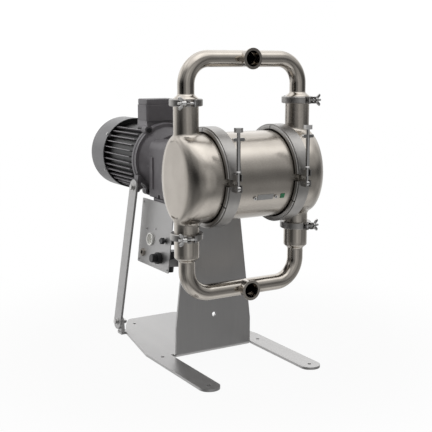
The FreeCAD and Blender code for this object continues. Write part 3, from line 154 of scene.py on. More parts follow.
def addWorld():
    # white for the camera, the studio panels for reflections, and soft ambient light for everything else
    world = bpy.data.worlds.new("studio")
    world.use_nodes = True
    bpy.context.scene.world = world
    tree = world.node_tree
    tree.nodes.clear()
    place = addNode(tree, "ShaderNodeTexCoord")
    path = addNode(tree, "ShaderNodeLightPath")
    # below the horizon the panels are mirrored and dimmed, as a polished studio floor would show them: x, y and the
    # greater of z and -z
    mirrored = addNode(tree, "ShaderNodeVectorMath", {"operation": "MULTIPLY", 1: (1, 1, -1)},
                       {0: place.outputs["Generated"]})
    upper = addNode(tree, "ShaderNodeVectorMath", {"operation": "MAXIMUM"},
                    {0: place.outputs["Generated"], 1: mirrored.outputs[0]})
    height = addNode(tree, "ShaderNodeSeparateXYZ", {}, {0: place.outputs["Generated"]})
    below = addNode(tree, "ShaderNodeMapRange",
                    {"interpolation_type": "SMOOTHSTEP", "From Min": worldLook["horizon"], "From Max": 0.0,
                     "To Min": worldLook["mirrored"], "To Max": 1.0}, {"Value": height.outputs["Z"]})
    dimmed = addNode(tree, "ShaderNodeMath", {"operation": "MULTIPLY"},
                     {0: studioLevel(tree, upper.outputs[0]), 1: below.outputs[0]})
    level = addNode(tree, "ShaderNodeMath", {"operation": "MAXIMUM"},
                    {0: dimmed.outputs[0], 1: path.outputs["Is Camera Ray"]})
    ambient = addNode(tree, "ShaderNodeBackground",
                      {"Color": linear(worldLook["ambient"]), "Strength": worldLook["strength"]})
    seen = addNode(tree, "ShaderNodeBackground", {"Color": (1, 1, 1, 1)}, {"Strength": level.outputs[0]})
    mixed = addNode(tree, "ShaderNodeMixShader", {},
                    {0: showsBackdrop(tree), 1: ambient.outputs[0], 2: seen.outputs[0]})
    addNode(tree, "ShaderNodeOutputWorld", {}, {0: mixed.outputs[0]})


def addFloor():
    # seamless pale paper: the object's shadow shows near it, and further off it runs into the white background
    mesh = bpy.data.meshes.new("studioFloor")
    look = floorLook
    half, height = look["half"], -look["drop"]
    corners = [(-half, -half, height), (half, -half, height), (half, half, height), (-half, half, height)]
    mesh.from_pydata(corners, [], [(0, 1, 2, 3)])
    floor = placed("studioFloor", mesh)
    material = bpy.data.materials.new("seamlessPaper")
    material.use_nodes = True
    tree = material.node_tree
    tree.nodes.clear()
    place = addNode(tree, "ShaderNodeTexCoord")
    mottle = addNode(tree, "ShaderNodeTexNoise", {"Scale": 3.0, "Detail": 2.0}, {"Vector": place.outputs["Object"]})
    tone = addNode(tree, "ShaderNodeMix", {"data_type": "RGBA", 6: linear(look["dark"]), 7: linear(look["pale"])},
                   {0: mottle.outputs[0]})
    paper = addNode(tree, "ShaderNodeBsdfDiffuse", {}, {"Color": tone.outputs[2]})
    shine = addNode(tree, "ShaderNodeEmission", {"Color": (1, 1, 1, 1), "Strength": 1.0})
    centred = addNode(tree, "ShaderNodeMapping", {"Location": (0, -look["centre"], 0)},
                      {"Vector": place.outputs["Object"]})
    away = addNode(tree, "ShaderNodeVectorMath", {"operation": "LENGTH"}, {0: centred.outputs[0]})
    share = addNode(tree, "ShaderNodeMapRange",
                    {"interpolation_type": "SMOOTHSTEP", "From Min": look["near"], "From Max": look["far"],
                     "To Min": look["level"], "To Max": 1.0}, {"Value": away.outputs["Value"]})
    path = addNode(tree, "ShaderNodeLightPath")
    seen = addNode(tree, "ShaderNodeMath", {"operation": "MULTIPLY"},
                   {0: share.outputs[0], 1: path.outputs["Is Camera Ray"]})
    for x, y in footHoles:
        reach = addNode(tree, "ShaderNodeVectorMath", {"operation": "DISTANCE", 1: (x, y, 0)},
                        {0: place.outputs["Object"]})
        clear = addNode(tree, "ShaderNodeMath", {"operation": "GREATER_THAN", 1: look["holeR"]},
                        {0: reach.outputs["Value"]})
        seen = addNode(tree, "ShaderNodeMath", {"operation": "MULTIPLY"}, {0: seen.outputs[0], 1: clear.outputs[0]})
    both = addNode(tree, "ShaderNodeMixShader", {}, {0: seen.outputs[0], 1: paper.outputs[0], 2: shine.outputs[0]})
    addNode(tree, "ShaderNodeOutputMaterial", {}, {0: both.outputs[0]})
    mesh.materials.append(material)
    floor.visible_glossy = False


addCamera()
addLamps()
addWorld()
addFloor()
bpy.context.scene.view_settings.view_transform = "Standard"
print("camera, lamps and floor set")


# finishes
# grain is in millimetres; stretch makes the grain longer along an axis (small number: longer)
finishes = {
    # 316L castings and rolled sheet, bead blasted and electropolished: satin, warm grey, wide soft highlights
    "blastedStainless": {"tone": "B5AFA7", "dark": "ABA59D", "metallic": 1.0, "rough": (0.24, 0.28),
                         "grain": 1.1, "depth": 0.003, "stretch": (1, 1, 1), "mottle": 60},
    # drawn 316L tube, polished with a fine belt: brighter edges and narrow highlights
    "polishedTube": {"tone": "B7B1A9", "dark": "ADA79F", "metallic": 1.0, "rough": (0.15, 0.19),
                     "grain": 0.9, "depth": 0.002, "stretch": (1, 1, 1), "mottle": 45},
    # cast stainless clamp, tumbled: cooler and duller, with a fine sand-cast skin
    "tumbledCasting": {"tone": "A3A19E", "dark": "959391", "metallic": 1.0, "rough": (0.32, 0.4),
                       "grain": 1.6, "depth": 0.02, "stretch": (1, 1, 1), "mottle": 30},
    # turned and polished stainless: wing nuts, rods and bolts
    "turnedStainless": {"tone": "C2C1BF", "dark": "B0AFAF", "metallic": 1.0, "rough": (0.12, 0.2),
                        "grain": 0.8, "depth": 0.004, "stretch": (1, 1, 0.1), "mottle": 8},
    # etched stainless plate, matt: no mirror, just a pale tone
    "etchedPlate": {"tone": "A9A9A8", "dark": "9C9C9B", "metallic": 0.7, "rough": (0.5, 0.58),
                    "grain": 0.8, "depth": 0.003, "stretch": (1, 1, 1), "mottle": 14},
    # cold rolled stainless sheet, brushed: pale grey with fine lines along the sheet
    "brushedSheet": {"tone": "B2B1B0", "dark": "A6A5A5", "metallic": 0.9, "rough": (0.36, 0.44),
                     "grain": 1.6, "depth": 0.004, "stretch": (1, 0.025, 0.025), "mottle": 120},
    # aluminium casting with grey two-part paint: slightly pebbled, half matt
    "paintedCasting": {"tone": "625F62", "dark": "565356", "metallic": 0.0, "rough": (0.38, 0.5),
                       "grain": 2.0, "depth": 0.05, "stretch": (1, 1, 1), "mottle": 35},
    # the same paint on the motor's fins, paler as a painted highlight on their outer edges, with painted shade between
    # them
    "finnedCasting": {"tone": "7E7B7E", "dark": "737073", "metallic": 0.0, "rough": (0.36, 0.46),
                      "grain": 2.0, "depth": 0.05, "stretch": (1, 1, 1), "mottle": 35,
                      "paintedFinShade": (0.1165, 0.1265, "0C0B0C")},
    # pressed steel sheet with a paler grey paint
    "paintedSheet": {"tone": "605F61", "dark": "585759", "metallic": 0.0, "rough": (0.3, 0.4),
                     "grain": 1.8, "depth": 0.04, "stretch": (1, 1, 1), "mottle": 70},
    # black oxide on steel: dark and half bright
    "blackenedSteel": {"tone": "2E2E30", "dark": "222224", "metallic": 0.6, "rough": (0.3, 0.42),
                       "grain": 0.9, "depth": 0.02, "stretch": (1, 1, 1), "mottle": 10},
    # ground and hardened steel of gears and shafts
    "groundSteel": {"tone": "8B8B8D", "dark": "77777A", "metallic": 1.0, "rough": (0.2, 0.32),
                    "grain": 0.7, "depth": 0.01, "stretch": (1, 1, 1), "mottle": 12},
    # glass filled nylon, moulded black with a fine spark-eroded texture
    "blackNylon": {"tone": "1C1C1E", "dark": "141416", "metallic": 0.0, "rough": (0.34, 0.46),
                   "grain": 0.9, "depth": 0.03, "stretch": (1, 1, 1), "mottle": 12},
    # white enamel of a dial
    "enamelDial": {"tone": "EDECE8", "dark": "E2E1DC", "metallic": 0.0, "rough": (0.22, 0.3),
                   "grain": 0.8, "depth": 0.004, "stretch": (1, 1, 1), "mottle": 9},
    # moulded PTFE and white EPDM: waxy and pale
    "whiteElastomer": {"tone": "DCD9D2", "dark": "CFCBC3", "metallic": 0.0, "rough": (0.42, 0.52),
                       "grain": 1.2, "depth": 0.02, "stretch": (1, 1, 1), "mottle": 20},
    # black EPDM: dull, with the skin of its mould
    "blackElastomer": {"tone": "202022", "dark": "17171A", "metallic": 0.0, "rough": (0.52, 0.64),
                       "grain": 1.0, "depth": 0.03, "stretch": (1, 1, 1), "mottle": 16},
    # enamelled copper wire round a laminated core
    "enamelledCopper": {"tone": "8C5A38", "dark": "6E4227", "metallic": 0.8, "rough": (0.3, 0.4),
                        "grain": 1.2, "depth": 0.05, "stretch": (1, 0.04, 1), "mottle": 12},
    # signal green moulded cap
    "greenNylon": {"tone": "1E8A57", "dark": "18744A", "metallic": 0.0, "rough": (0.3, 0.4),
                   "grain": 0.8, "depth": 0.01, "stretch": (1, 1, 1), "mottle": 6},
}
# how each finish uses its noise: the part of its values that counts, the grain's share in the tone, the bump's strength
noiseLook = {"low": 0.35, "high": 0.65, "share": 0.35, "bump": 0.35}
madeFinishes = {}


def finish(name):
    # procedural finish: two tones in a slow mottle, roughness that follows the grain, grain as bump
    if name in madeFinishes:
        return madeFinishes[name]
    look = finishes[name]
    low, high = noiseLook["low"], noiseLook["high"]
    material = bpy.data.materials.new(name)
    material.use_nodes = True
    tree = material.node_tree
    tree.nodes.clear()
    place = addNode(tree, "ShaderNodeTexCoord")
    along = addNode(tree, "ShaderNodeMapping", {"Scale": look["stretch"]}, {"Vector": place.outputs["Object"]})
    grain = addNode(tree, "ShaderNodeTexNoise",
                    {"Scale": 1000.0 / look["grain"], "Detail": 2.0, "Roughness": 0.55},
                    {"Vector": along.outputs[0]})
    mottle = addNode(tree, "ShaderNodeTexNoise",
                     {"Scale": 1000.0 / look["mottle"], "Detail": 3.0, "Roughness": 0.5},
                     {"Vector": along.outputs[0]})
    both = addNode(tree, "ShaderNodeMix", {"data_type": "FLOAT", 0: noiseLook["share"]},
                   {2: mottle.outputs[0], 3: grain.outputs[0]})
    spread = addNode(tree, "ShaderNodeMapRange", {"From Min": low, "From Max": high}, {"Value": both.outputs[0]})
    tone = addNode(tree, "ShaderNodeMix", {"data_type": "RGBA", 6: linear(look["dark"]), 7: linear(look["tone"])},
                   {0: spread.outputs[0]})
    colour = tone.outputs[2]
    if "paintedFinShade" in look:
        # painted shade between the fins: dark where the distance from the motor axis is small, fading out towards the
        # fin edges
        near, far, shade = look["paintedFinShade"]
        out = addNode(tree, "ShaderNodeMapping", {"Location": (0, 0, -axisZ), "Scale": (1, 0, 1)},
                      {"Vector": place.outputs["Object"]})
        away = addNode(tree, "ShaderNodeVectorMath", {"operation": "LENGTH"}, {0: out.outputs[0]})
        litShare = addNode(tree, "ShaderNodeMapRange",
                       {"interpolation_type": "SMOOTHSTEP", "From Min": near, "From Max": far},
                       {"Value": away.outputs["Value"]})
        colour = addNode(tree, "ShaderNodeMix", {"data_type": "RGBA", 6: linear(shade)},
                         {0: litShare.outputs[0], 7: colour}).outputs[2]
    rough = addNode(tree, "ShaderNodeMapRange",
                    {"From Min": low, "From Max": high, "To Min": look["rough"][0], "To Max": look["rough"][1]},
                    {"Value": grain.outputs[0]})
    bump = addNode(tree, "ShaderNodeBump", {"Strength": noiseLook["bump"], "Distance": look["depth"] / 1000.0},
                   {"Height": grain.outputs[0]})
    shader = addNode(tree, "ShaderNodeBsdfPrincipled", {"Metallic": look["metallic"]},
                     {"Base Color": colour, "Roughness": rough.outputs[0], "Normal": bump.outputs[0]})
    addNode(tree, "ShaderNodeOutputMaterial", {}, {0: shader.outputs[0]})
    madeFinishes[name] = material
    return material


# surfaces worked out with numpy
def millimetres(profile):
    return [(a / 1000.0, r / 1000.0) for a, r in profile]


def gridPart(points, wrapRows=False, capEnds=False):
    # points: rows x columns x 3, columns closed on themselves; quads between neighbours, and a flat cap on each end row
    rows, columns = points.shape[:2]
    i = np.arange(rows if wrapRows else rows - 1)
    j = np.arange(columns)
    a, b = np.meshgrid(i, j, indexing="ij")
    up, right = (a + 1) % rows, (b + 1) % columns
    quads = np.stack([a * columns + b, up * columns + b, up * columns + right, a * columns + right], -1)
    faces = quads.reshape(-1, 4).tolist()
    if capEnds:
        faces += [list(range(columns)), list(range((rows - 1) * columns, rows * columns))]
    return points.reshape(-1, 3), faces


def axes(direction):
    # two unit vectors square to a direction
    direction = np.array(direction, float) / np.linalg.norm(direction)
    other = np.array((0.0, 0.0, 1.0)) if abs(direction[2]) < 0.8 else np.array((1.0, 0.0, 0.0))
    first = np.cross(other, direction)
    first /= np.linalg.norm(first)
    return direction, first, np.cross(direction, first)


def turnedPart(profile, centre, direction, steps, solid=False):
    # each (distance along the axis, radius) of the profile is carried round the axis:
    # point = centre + along * axis + radius * (cos(turn) * first + sin(turn) * second);
    # a closed profile gives a ring, and an open one a solid with a flat cap at each end
    axis, first, second = axes(direction)
    profile = np.array(profile, float)
    turn = np.linspace(0, 2 * np.pi, steps, endpoint=False)
    ring = np.cos(turn)[:, None] * first + np.sin(turn)[:, None] * second
    points = (np.array(centre, float) + profile[:, 0, None, None] * axis
              + profile[:, 1, None, None] * ring[None, :, :])
    return gridPart(points, wrapRows=not solid, capEnds=solid)


def lobePart(centre, along, across, thick, size, power, steps):
    # rounded lobe: a superellipsoid, each coordinate a sine or cosine raised to a power and scaled to its half size
    rise = np.linspace(-np.pi / 2, np.pi / 2, steps[0])[:, None]
    turn = np.linspace(0, 2 * np.pi, steps[1], endpoint=False)[None, :]

    def bent(value):
        return np.sign(value) * np.abs(value) ** power

    x = bent(np.cos(rise)) * bent(np.cos(turn)) * size[0]
    y = bent(np.cos(rise)) * bent(np.sin(turn)) * size[1]
    z = bent(np.sin(rise)) * size[2] * np.ones_like(turn)
    points = (np.array(centre, float) + x[..., None] * np.array(along) + y[..., None] * np.array(across)
              + z[..., None] * np.array(thick))
    return gridPart(points)


def slabPart(outline, origin, first, second, thickness):
    # flat plate: a 2-D outline in the plane of two directions, carried through its thickness along their cross product
    outline = np.array(outline, float)
    first, second = np.array(first, float), np.array(second, float)
    normal = np.cross(first, second)
    flat = np.array(origin, float) + outline[:, :1] * first + outline[:, 1:] * second
    return gridPart(np.stack([flat, flat + thickness * normal]), capEnds=True)


# distances in metres under which points merge and edges vanish, and angles in degrees from which an edge stays sharp
meshLook = {"merge": 2e-6, "vanish": 1e-7, "sharp": 35.0, "pipeSharp": 28.0}


def closedMesh(name, points, faces, trimmed):
    # doubles merged, edges of no length dissolved where asked, normals turned outwards
    mesh = bpy.data.meshes.new(name)
    mesh.from_pydata(points.tolist(), [], faces)
    shape = bmesh.new()
    shape.from_mesh(mesh)
    bmesh.ops.remove_doubles(shape, verts=shape.verts, dist=meshLook["merge"])
    if trimmed:
        bmesh.ops.dissolve_degenerate(shape, edges=shape.edges, dist=meshLook["vanish"])
    bmesh.ops.recalc_face_normals(shape, faces=shape.faces)
    shape.to_mesh(mesh)
    shape.free()
    return mesh


def makePiece(name, parts, look, body, stands):
    # grids joined into one mesh, with the finish, the body it rides on and the nodes it stands for
    points, faces, start = [], [], 0
    for grid, quads in parts:
        points.append(grid)
        faces += [[start + k for k in quad] for quad in quads]
        start += len(grid)
    mesh = closedMesh(name, np.concatenate(points), faces, True)
    mesh.shade_smooth()
    mesh.set_sharp_from_angle(angle=math.radians(meshLook["sharp"]))
    piece = placed(name, mesh)
    mesh.materials.append(finish(look))
    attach(piece, body)
    if stands:
        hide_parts(*stands)


# fluid covers: pressed dome, upper and lower riser with a rolled fillet where they meet
coverLook = {"start": 0.124, "shoulder": 0.172, "end": 0.242, "radius": 0.134, "roundY": 0.070, "roundZ": 0.018,
             "riserX": 0.201, "riserR": 0.0381, "fillet": 0.011, "upper": 0.8455, "lower": 0.4495, "flange": 0.1455,
             "wall": 0.15, "endRows": 12, "sink": (0.0012, 0.0016)}
# ferrule at the end of a riser, in millimetres: (radius, distance from its face)
riserCollar = [(36.2, 0), (45.0, 0), (45.5, 0.5), (45.5, 2.6), (45.0, 3.2), (39.4, 5.7), (38.4, 6.5), (38.1, 8.0)]


def coverHalves(x):
    # half width in Y and half height in Z of the dome at x: a circle that turns into a flattened oval at the end
    c = coverLook
    turn = np.clip((x - c["shoulder"]) / c["roundY"], 0, 1)
    wide = c["radius"] - c["roundY"] + c["roundY"] * np.sqrt(1 - turn ** 2)
    deep = np.clip(x - (c["end"] - c["roundZ"]), 0, c["roundZ"])
    tall = c["radius"] - c["roundZ"] + np.sqrt(c["roundZ"] ** 2 - deep ** 2)
    return wide, tall


def domePart(side):
    # rows at x from the flange to the end face, each an oval (wide * cos, tall * sin); the end face closes to its
    # middle
    c = coverLook
    turn = np.linspace(0, 2 * np.pi, 144, endpoint=False)
    rise = np.radians(np.linspace(0, 90, 34))
    x = np.concatenate([[c["start"], c["wall"]], c["shoulder"] + c["roundY"] * np.sin(rise)])
    wide, tall = coverHalves(x)
    rows = c["endRows"]
    scale = np.concatenate([np.ones(len(x)), np.linspace(0.97, 0.0, rows)])
    x = np.concatenate([x, np.full(rows, c["end"])])
    wide = np.concatenate([wide, np.full(rows, wide[-1])]) * scale
    tall = np.concatenate([tall, np.full(rows, tall[-1])]) * scale
    points = np.stack([np.repeat(side * x[:, None], len(turn), 1),
                       axisY + wide[:, None] * np.cos(turn), axisZ + tall[:, None] * np.sin(turn)], -1)
    grid, faces = gridPart(points)
    return grid, faces + [list(range(len(turn)))]


def riserPart(side, lift):
    # rings down the riser from its ferrule; the last rings follow a quarter circle that lands on the dome's own height
    c = coverLook
    turn = np.linspace(0, 2 * np.pi, 96, endpoint=False)
    face = c["upper"] if lift > 0 else c["lower"]
    collar = np.array(riserCollar) / 1000.0
    radius = np.repeat(collar[:, :1], len(turn), 1)
    height = face - lift * np.repeat(collar[:, 1:], len(turn), 1)
    fillet = c["fillet"] * (1 - 0.5 * np.clip(np.cos(turn), 0, 1) ** 2)
    rows = []
    for k in np.radians(np.linspace(0, 90, 10)):
        rows.append((c["riserR"] + fillet * (1 - np.cos(k)), fillet * (1 - np.sin(k))))
    out, sunk = c["sink"]
    rows.append((c["riserR"] + fillet + out, np.full(len(turn), -sunk)))
    foot = np.array([row[0] for row in rows])
    above = np.array([row[1] for row in rows])
    wide, tall = coverHalves(np.minimum(c["riserX"] + foot * np.cos(turn), c["end"] - 1e-5))
    dome = tall * np.sqrt(np.clip(1 - (foot * np.sin(turn) / wide) ** 2, 0, 1))
    radius = np.concatenate([radius, foot])
    height = np.concatenate([height, axisZ + lift * (dome + above)])
    points = np.stack([side * (c["riserX"] + radius * np.cos(turn)), axisY + radius * np.sin(turn), height], -1)
    return gridPart(points, capEnds=True)


def flangePart(side):
    c = coverLook
    x, r = c["start"] * 1000, c["flange"] * 1000
    profile = [(x, 128), (x, r - 0.5), (x + 0.5, r), (x + 3.6, r), (x + 4.2, r - 0.5), (x + 8.5, 134.6),
               (x + 9.6, 133.8), (x + 9.6, 128)]
    return turnedPart(millimetres([(side * a, b) for a, b in profile]), (0, axisY, axisZ), (1, 0, 0), 144)


for name, side in (("Right", 1), ("Left", -1)):
    parts = [domePart(side), riserPart(side, 1), riserPart(side, -1), flangePart(side)]
    makePiece("fluidCover" + name, parts, "blastedStainless", root, ["cover_" + name.lower()])
print("covers made")


# U manifolds: one tube with a ferrule, a cup and a reducer at each end, and a port with its own ferrule
pipeLook = {"riserX": 201.0, "pipe": 25.4, "wall": 1.65, "elbow": 76.0, "wide": 38.1, "wideWall": 2.0, "cone": 16.0,
            "rim": 45.5, "port": 25.2, "portRim": 31.95, "reach": 52.0, "columns": 96}
pipeEnds = {"manifold_top": {"face": 848.5, "cup": 8.0, "run": 974.0},
            "manifold_bottom": {"face": 446.5, "cup": 62.0, "run": 264.0}}


def pipeLine(ends, beyond):
    # stations along the centre line from the left ferrule face to the right one: place, direction, distance from the
    # nearer face; quarter circles join the risers to the run
    c = pipeLook
    up = 1.0 if ends["run"] > ends["face"] else -1.0
    bend = ends["run"] - up * c["elbow"]
    straight = abs(bend - ends["face"])
    cup, cone = ends["cup"], c["cone"]
    rise = np.concatenate([[-beyond, 0.0, 0.5, 2.5, 3.0, 5.6, 6.0], np.linspace(6.0, cup, 6)[1:],
                           cup + cone * np.linspace(0, 1, 13)[1:], np.linspace(cup + cone, straight, 5)[1:]])
    turn = np.radians(np.linspace(0, 90, 28))[1:]
    leg = np.stack([np.full(len(rise), -c["riserX"]), ends["face"] + up * rise], -1)
    elbow = np.stack([-c["riserX"] + c["elbow"] * (1 - np.cos(turn)), bend + up * c["elbow"] * np.sin(turn)], -1)
    half = np.concatenate([leg, elbow])
    ways = np.concatenate([np.tile((0.0, up), (len(rise), 1)), np.stack([np.sin(turn), up * np.cos(turn)], -1)])
    far = np.concatenate([rise, straight + np.zeros(len(turn))])
    run = np.linspace(-1, 1, 15)[1:-1] * (c["riserX"] - c["elbow"])
    middle = np.stack([run, np.full(len(run), ends["run"])], -1)
    line = np.concatenate([half, middle, half[::-1] * (-1, 1)])
    way = np.concatenate([ways, np.tile((1.0, 0.0), (len(run), 1)), ways[::-1] * (1, -1)])
    return line, way, np.concatenate([far, np.full(len(run), 1e3), far[::-1]])


def pipeGrid(ends, inside):
    # each station carries a circle; its radius is the ferrule's, then the cup's, a cosine blend over the reducer and
    # the tube's
    c = pipeLook
    line, way, far = pipeLine(ends, 1.0 if inside else 0.0)
    blend = 0.5 - 0.5 * np.cos(np.pi * np.clip((far - ends["cup"]) / c["cone"], 0, 1))
    radius = c["wide"] + (c["pipe"] - c["wide"]) * blend
    if inside:
        radius = radius - c["wideWall"] - (c["wall"] - c["wideWall"]) * blend
    else:
        rim = np.interp(far, [0, 0.5, 2.5, 3.0, 5.6, 6.0],
                        [c["rim"] - 0.5, c["rim"], c["rim"], c["rim"] - 0.5, c["wide"] + 0.3, c["wide"]])
        radius = np.where(far < 6.0, rim, radius)
    turn = np.linspace(0, 2 * np.pi, c["columns"], endpoint=False)
    normal = np.stack([-way[:, 1], np.zeros(len(way)), way[:, 0]], -1)
    centre = np.stack([line[:, 0], np.full(len(line), axisY * 1000.0), line[:, 1]], -1)
    ring = np.cos(turn)[:, None] * normal[:, None, :] + np.sin(turn)[:, None] * np.array((0.0, 1.0, 0.0))
    return gridPart((centre[:, None, :] + radius[:, None, None] * ring) / 1000.0, capEnds=True)


def makeManifold(node, ends):
    # outer tube and port joined, then both bores cut away
    c = pipeLook
    centre = np.array((0.0, axisY, ends["run"] / 1000.0))
    reach, rim, bore = c["reach"], c["portRim"], c["port"] - c["wall"]
    port = [(0, c["port"]), (reach - 6, c["port"]), (reach - 5.6, c["port"] + 0.3), (reach - 3, rim - 0.4),
            (reach - 2.6, rim), (reach - 0.4, rim), (reach, rim - 0.4)]
    grids = {"outer": pipeGrid(ends, False),
             "port": turnedPart(millimetres(port), centre, (0, -1, 0), 96, True),
             "hollow": pipeGrid(ends, True),
             "bore": turnedPart(millimetres([(0, bore), (reach + 1, bore)]), centre, (0, -1, 0), 96, True)}
    pieces = [placed(name, closedMesh(name, *grid, False)) for name, grid in grids.items()]
    for other, way in zip(pieces[1:], ("UNION", "DIFFERENCE", "DIFFERENCE")):
        joint = pieces[0].modifiers.new(way.lower(), "BOOLEAN")
        joint.operation = way
        joint.solver = "EXACT"
        joint.object = other
    whole = bpy.data.meshes.new_from_object(pieces[0].evaluated_get(bpy.context.evaluated_depsgraph_get()))
    for thing in pieces:
        bpy.data.objects.remove(thing)
    whole.name = node
    whole.shade_smooth()
    whole.set_sharp_from_angle(angle=math.radians(meshLook["pipeSharp"]))
    whole.materials.clear()
    whole.materials.append(finish("polishedTube"))
    piece = placed("tube_" + node, whole)
    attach(piece, root)
    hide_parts(node)
    return len(whole.polygons)


for node, ends in pipeEnds.items():
    print("manifold made, faces:", makeManifold(node, ends))


# retainer rings of the two V-bands: arcs on each side of the strap, between three breaks and the slot at the front lugs
retainerLook = {"x": 122.0, "inner": 137.6, "outer": 149.2, "near": 19.0, "far": 24.5, "breaks": (90.0, 210.0, 330.0),
                "slot": 0.7, "front": 180.0, "frontSlot": 4.6}


def arcPart(profile, centre, direction, start, end, steps):
    # a closed profile of (distance along the axis, radius) carried from one angle to another, with flat ends
    axis, first, second = axes(direction)
    turn = np.radians(np.linspace(start, end, steps))
    ring = np.cos(turn)[:, None] * first + np.sin(turn)[:, None] * second
    profile = np.array(profile, float)
    points = np.array(centre, float) + profile[None, :, :1] * axis + profile[None, :, 1:] * ring[:, None, :]
    return gridPart(points, capEnds=True)


def retainerParts(side):
    # angles run from +Y towards +Z about +X; the arcs end at each break and at the front slot
    c = retainerLook
    cuts = sorted([(b, c["slot"]) for b in c["breaks"]] + [(c["front"], c["frontSlot"])])
    arcs = []
    for k, (angle, half) in enumerate(cuts):
        nextAngle, nextHalf = cuts[(k + 1) % len(cuts)]
        arcs.append((angle + half, nextAngle - nextHalf + (360.0 if nextAngle < angle else 0.0)))
    parts = []
    for way in (1, -1):
        profile = [(c["near"], c["inner"]), (c["far"] - 1.2, c["inner"]), (c["far"], c["inner"] + 1.2),
                   (c["far"], c["outer"] - 3.0), (c["far"] - 1.0, c["outer"] - 0.8), (c["far"] - 3.0, c["outer"]),
                   (c["near"], c["outer"])]
        flat = millimetres([(side * c["x"] + way * a, r) for a, r in profile])
        for start, end in arcs:
            parts.append(arcPart(flat, (0, axisY, axisZ), (1, 0, 0), start, end, max(8, int((end - start) / 2.5))))
    return parts


for name, side in (("Left", -1), ("Right", 1)):
    makePiece("bandRetainer" + name, retainerParts(side), "tumbledCasting", root, ())
print("band retainers made")


# wing nuts of the pipe clamps
wingLook = {"x": 229.4, "y": -97.3, "swing": 12.0, "upper": 847.0, "lower": 448.0, "lean": 38.0,
            "lobe": (9.5, 5.6, 2.6), "lobePower": 0.75, "lobeSteps": (14, 20), "lobeOut": 0.0165, "lobeUp": 0.0115,
            "hub": [(0.2, 4.1), (0.2, 6.4), (0.8, 7.4), (2.2, 8.0), (5, 7.6), (10, 6.9), (13, 6.6), (14.4, 6.0),
                    (14.9, 5.2), (14.9, 4.1)]}


def wingNutParts(side, height):
    # turned hub with a rounded shoulder and two lobes that lean out from it
    w = wingLook
    slant = math.radians(w["swing"])
    axis = np.array((side * math.cos(slant), math.sin(slant), 0.0))
    upward = np.array((0.0, 0.0, 1.0))
    centre = np.array((side * w["x"], w["y"], height)) / 1000.0
    parts = [turnedPart(millimetres(w["hub"]), centre, axis, 32)]
    lean = math.radians(w["lean"])
    thick = np.cross(axis, upward)
    for way in (1, -1):
        along = axis * math.cos(lean) + way * upward * math.sin(lean)
        across = np.cross(thick, along)
        middle = centre + axis * w["lobeOut"] + way * upward * w["lobeUp"]
        size = [v / 1000.0 for v in w["lobe"]]
        parts.append(lobePart(middle, along, across, thick, size, w["lobePower"], w["lobeSteps"]))
    return parts


for corner, side, level in (("upper_left", -1, "upper"), ("upper_right", 1, "upper"),
                            ("lower_left", -1, "lower"), ("lower_right", 1, "lower")):
    makePiece("wingNut_" + corner, wingNutParts(side, wingLook[level]), "turnedStainless", "clamp_nut_" + corner,
              ["clamp_nut_" + corner])
print("wing nuts made")


# side panel: gauge with a marked dial, painted shade for the sockets in the screw heads
panelLook = {"low": -130.0, "high": -105.0, "bottom": 268.0, "top": 493.0, "gauge": (362.0, 360.0)}
lean = math.atan2(panelLook["high"] - panelLook["low"], panelLook["top"] - panelLook["bottom"])
panelUp = np.array((math.sin(lean), 0.0, math.cos(lean)))
panelOut = np.array((-math.cos(lean), 0.0, math.sin(lean)))


def onPanel(y, z):
    # point on the outer face of the leaning panel, in metres
    t = (z - panelLook["bottom"]) / (panelLook["top"] - panelLook["bottom"])
    return np.array((panelLook["low"] + (panelLook["high"] - panelLook["low"]) * t, y, z)) / 1000.0


gaugeCentre = onPanel(*panelLook["gauge"])
bezel = [(0.02, 15.2), (0.02, 21.6), (0.6, 22.0), (3.6, 22.0), (5.2, 21.2), (5.9, 19.8), (5.9, 18.8), (5.0, 17.7),
         (1.8, 17.2), (-21.5, 15.2)]
makePiece("gaugeBezel", [turnedPart(millimetres(bezel), gaugeCentre, panelOut, 72)], "turnedStainless", root,
          ())
dial = [(-6.6, 0.0), (-6.6, 15.3), (-5.6, 15.3), (-5.6, 0.0)]
makePiece("gaugeDial", [turnedPart(millimetres(dial), gaugeCentre, panelOut, 72)], "enamelDial", root, ())


# marks of the dial, in degrees and millimetres
dialLook = {"marks": 11, "start": -135, "sweep": 270.0, "long": 9.4, "short": 11.2, "outer": 13.6, "half": 0.55,
            "sunk": 5.6, "thick": 0.2}


def dialMarks():
    # short bars at even angles over three quarters of a turn, every second one longer
    c = dialLook
    parts = []
    across = np.cross(panelOut, panelUp)
    for k in range(c["marks"]):
        turn = math.radians(c["start"] + c["sweep"] * k / (c["marks"] - 1))
        ray = panelUp * math.cos(turn) + across * math.sin(turn)
        side = np.cross(panelOut, ray)
        inner = c["long"] if k % 2 == 0 else c["short"]
        bar = [(inner, -c["half"]), (c["outer"], -c["half"]), (c["outer"], c["half"]), (inner, c["half"])]
        foot = gaugeCentre - panelOut * c["sunk"] / 1000.0
        parts.append(slabPart(millimetres(bar), foot, ray, side, c["thick"] / 1000.0))
    return parts


makePiece("dialMarks", dialMarks(), "blackNylon", root, ())


# where the cap screws stand: on the panel by (y, z) in millimetres, round the cowl by degrees from the top, and on the
# front of the drum by x and degrees below level; "reach" is the hexagon's corner radius in millimetres
socketLook = {"lift": 0.00005, "thick": 0.00012,
              "panel": {"at": [(227, 278), (439, 278), (227, 481), (439, 481), (396, 392), (332, 400)], "head": 0.0022,
                        "reach": 1.9},
              "cowl": {"at": (65.0, 125.0, 245.0, 305.0), "y": 0.738, "head": 0.1361, "reach": 2.6},
              "drum": {"at": (-0.037, 0.037), "down": 24, "head": 0.13802, "reach": 3.0}}


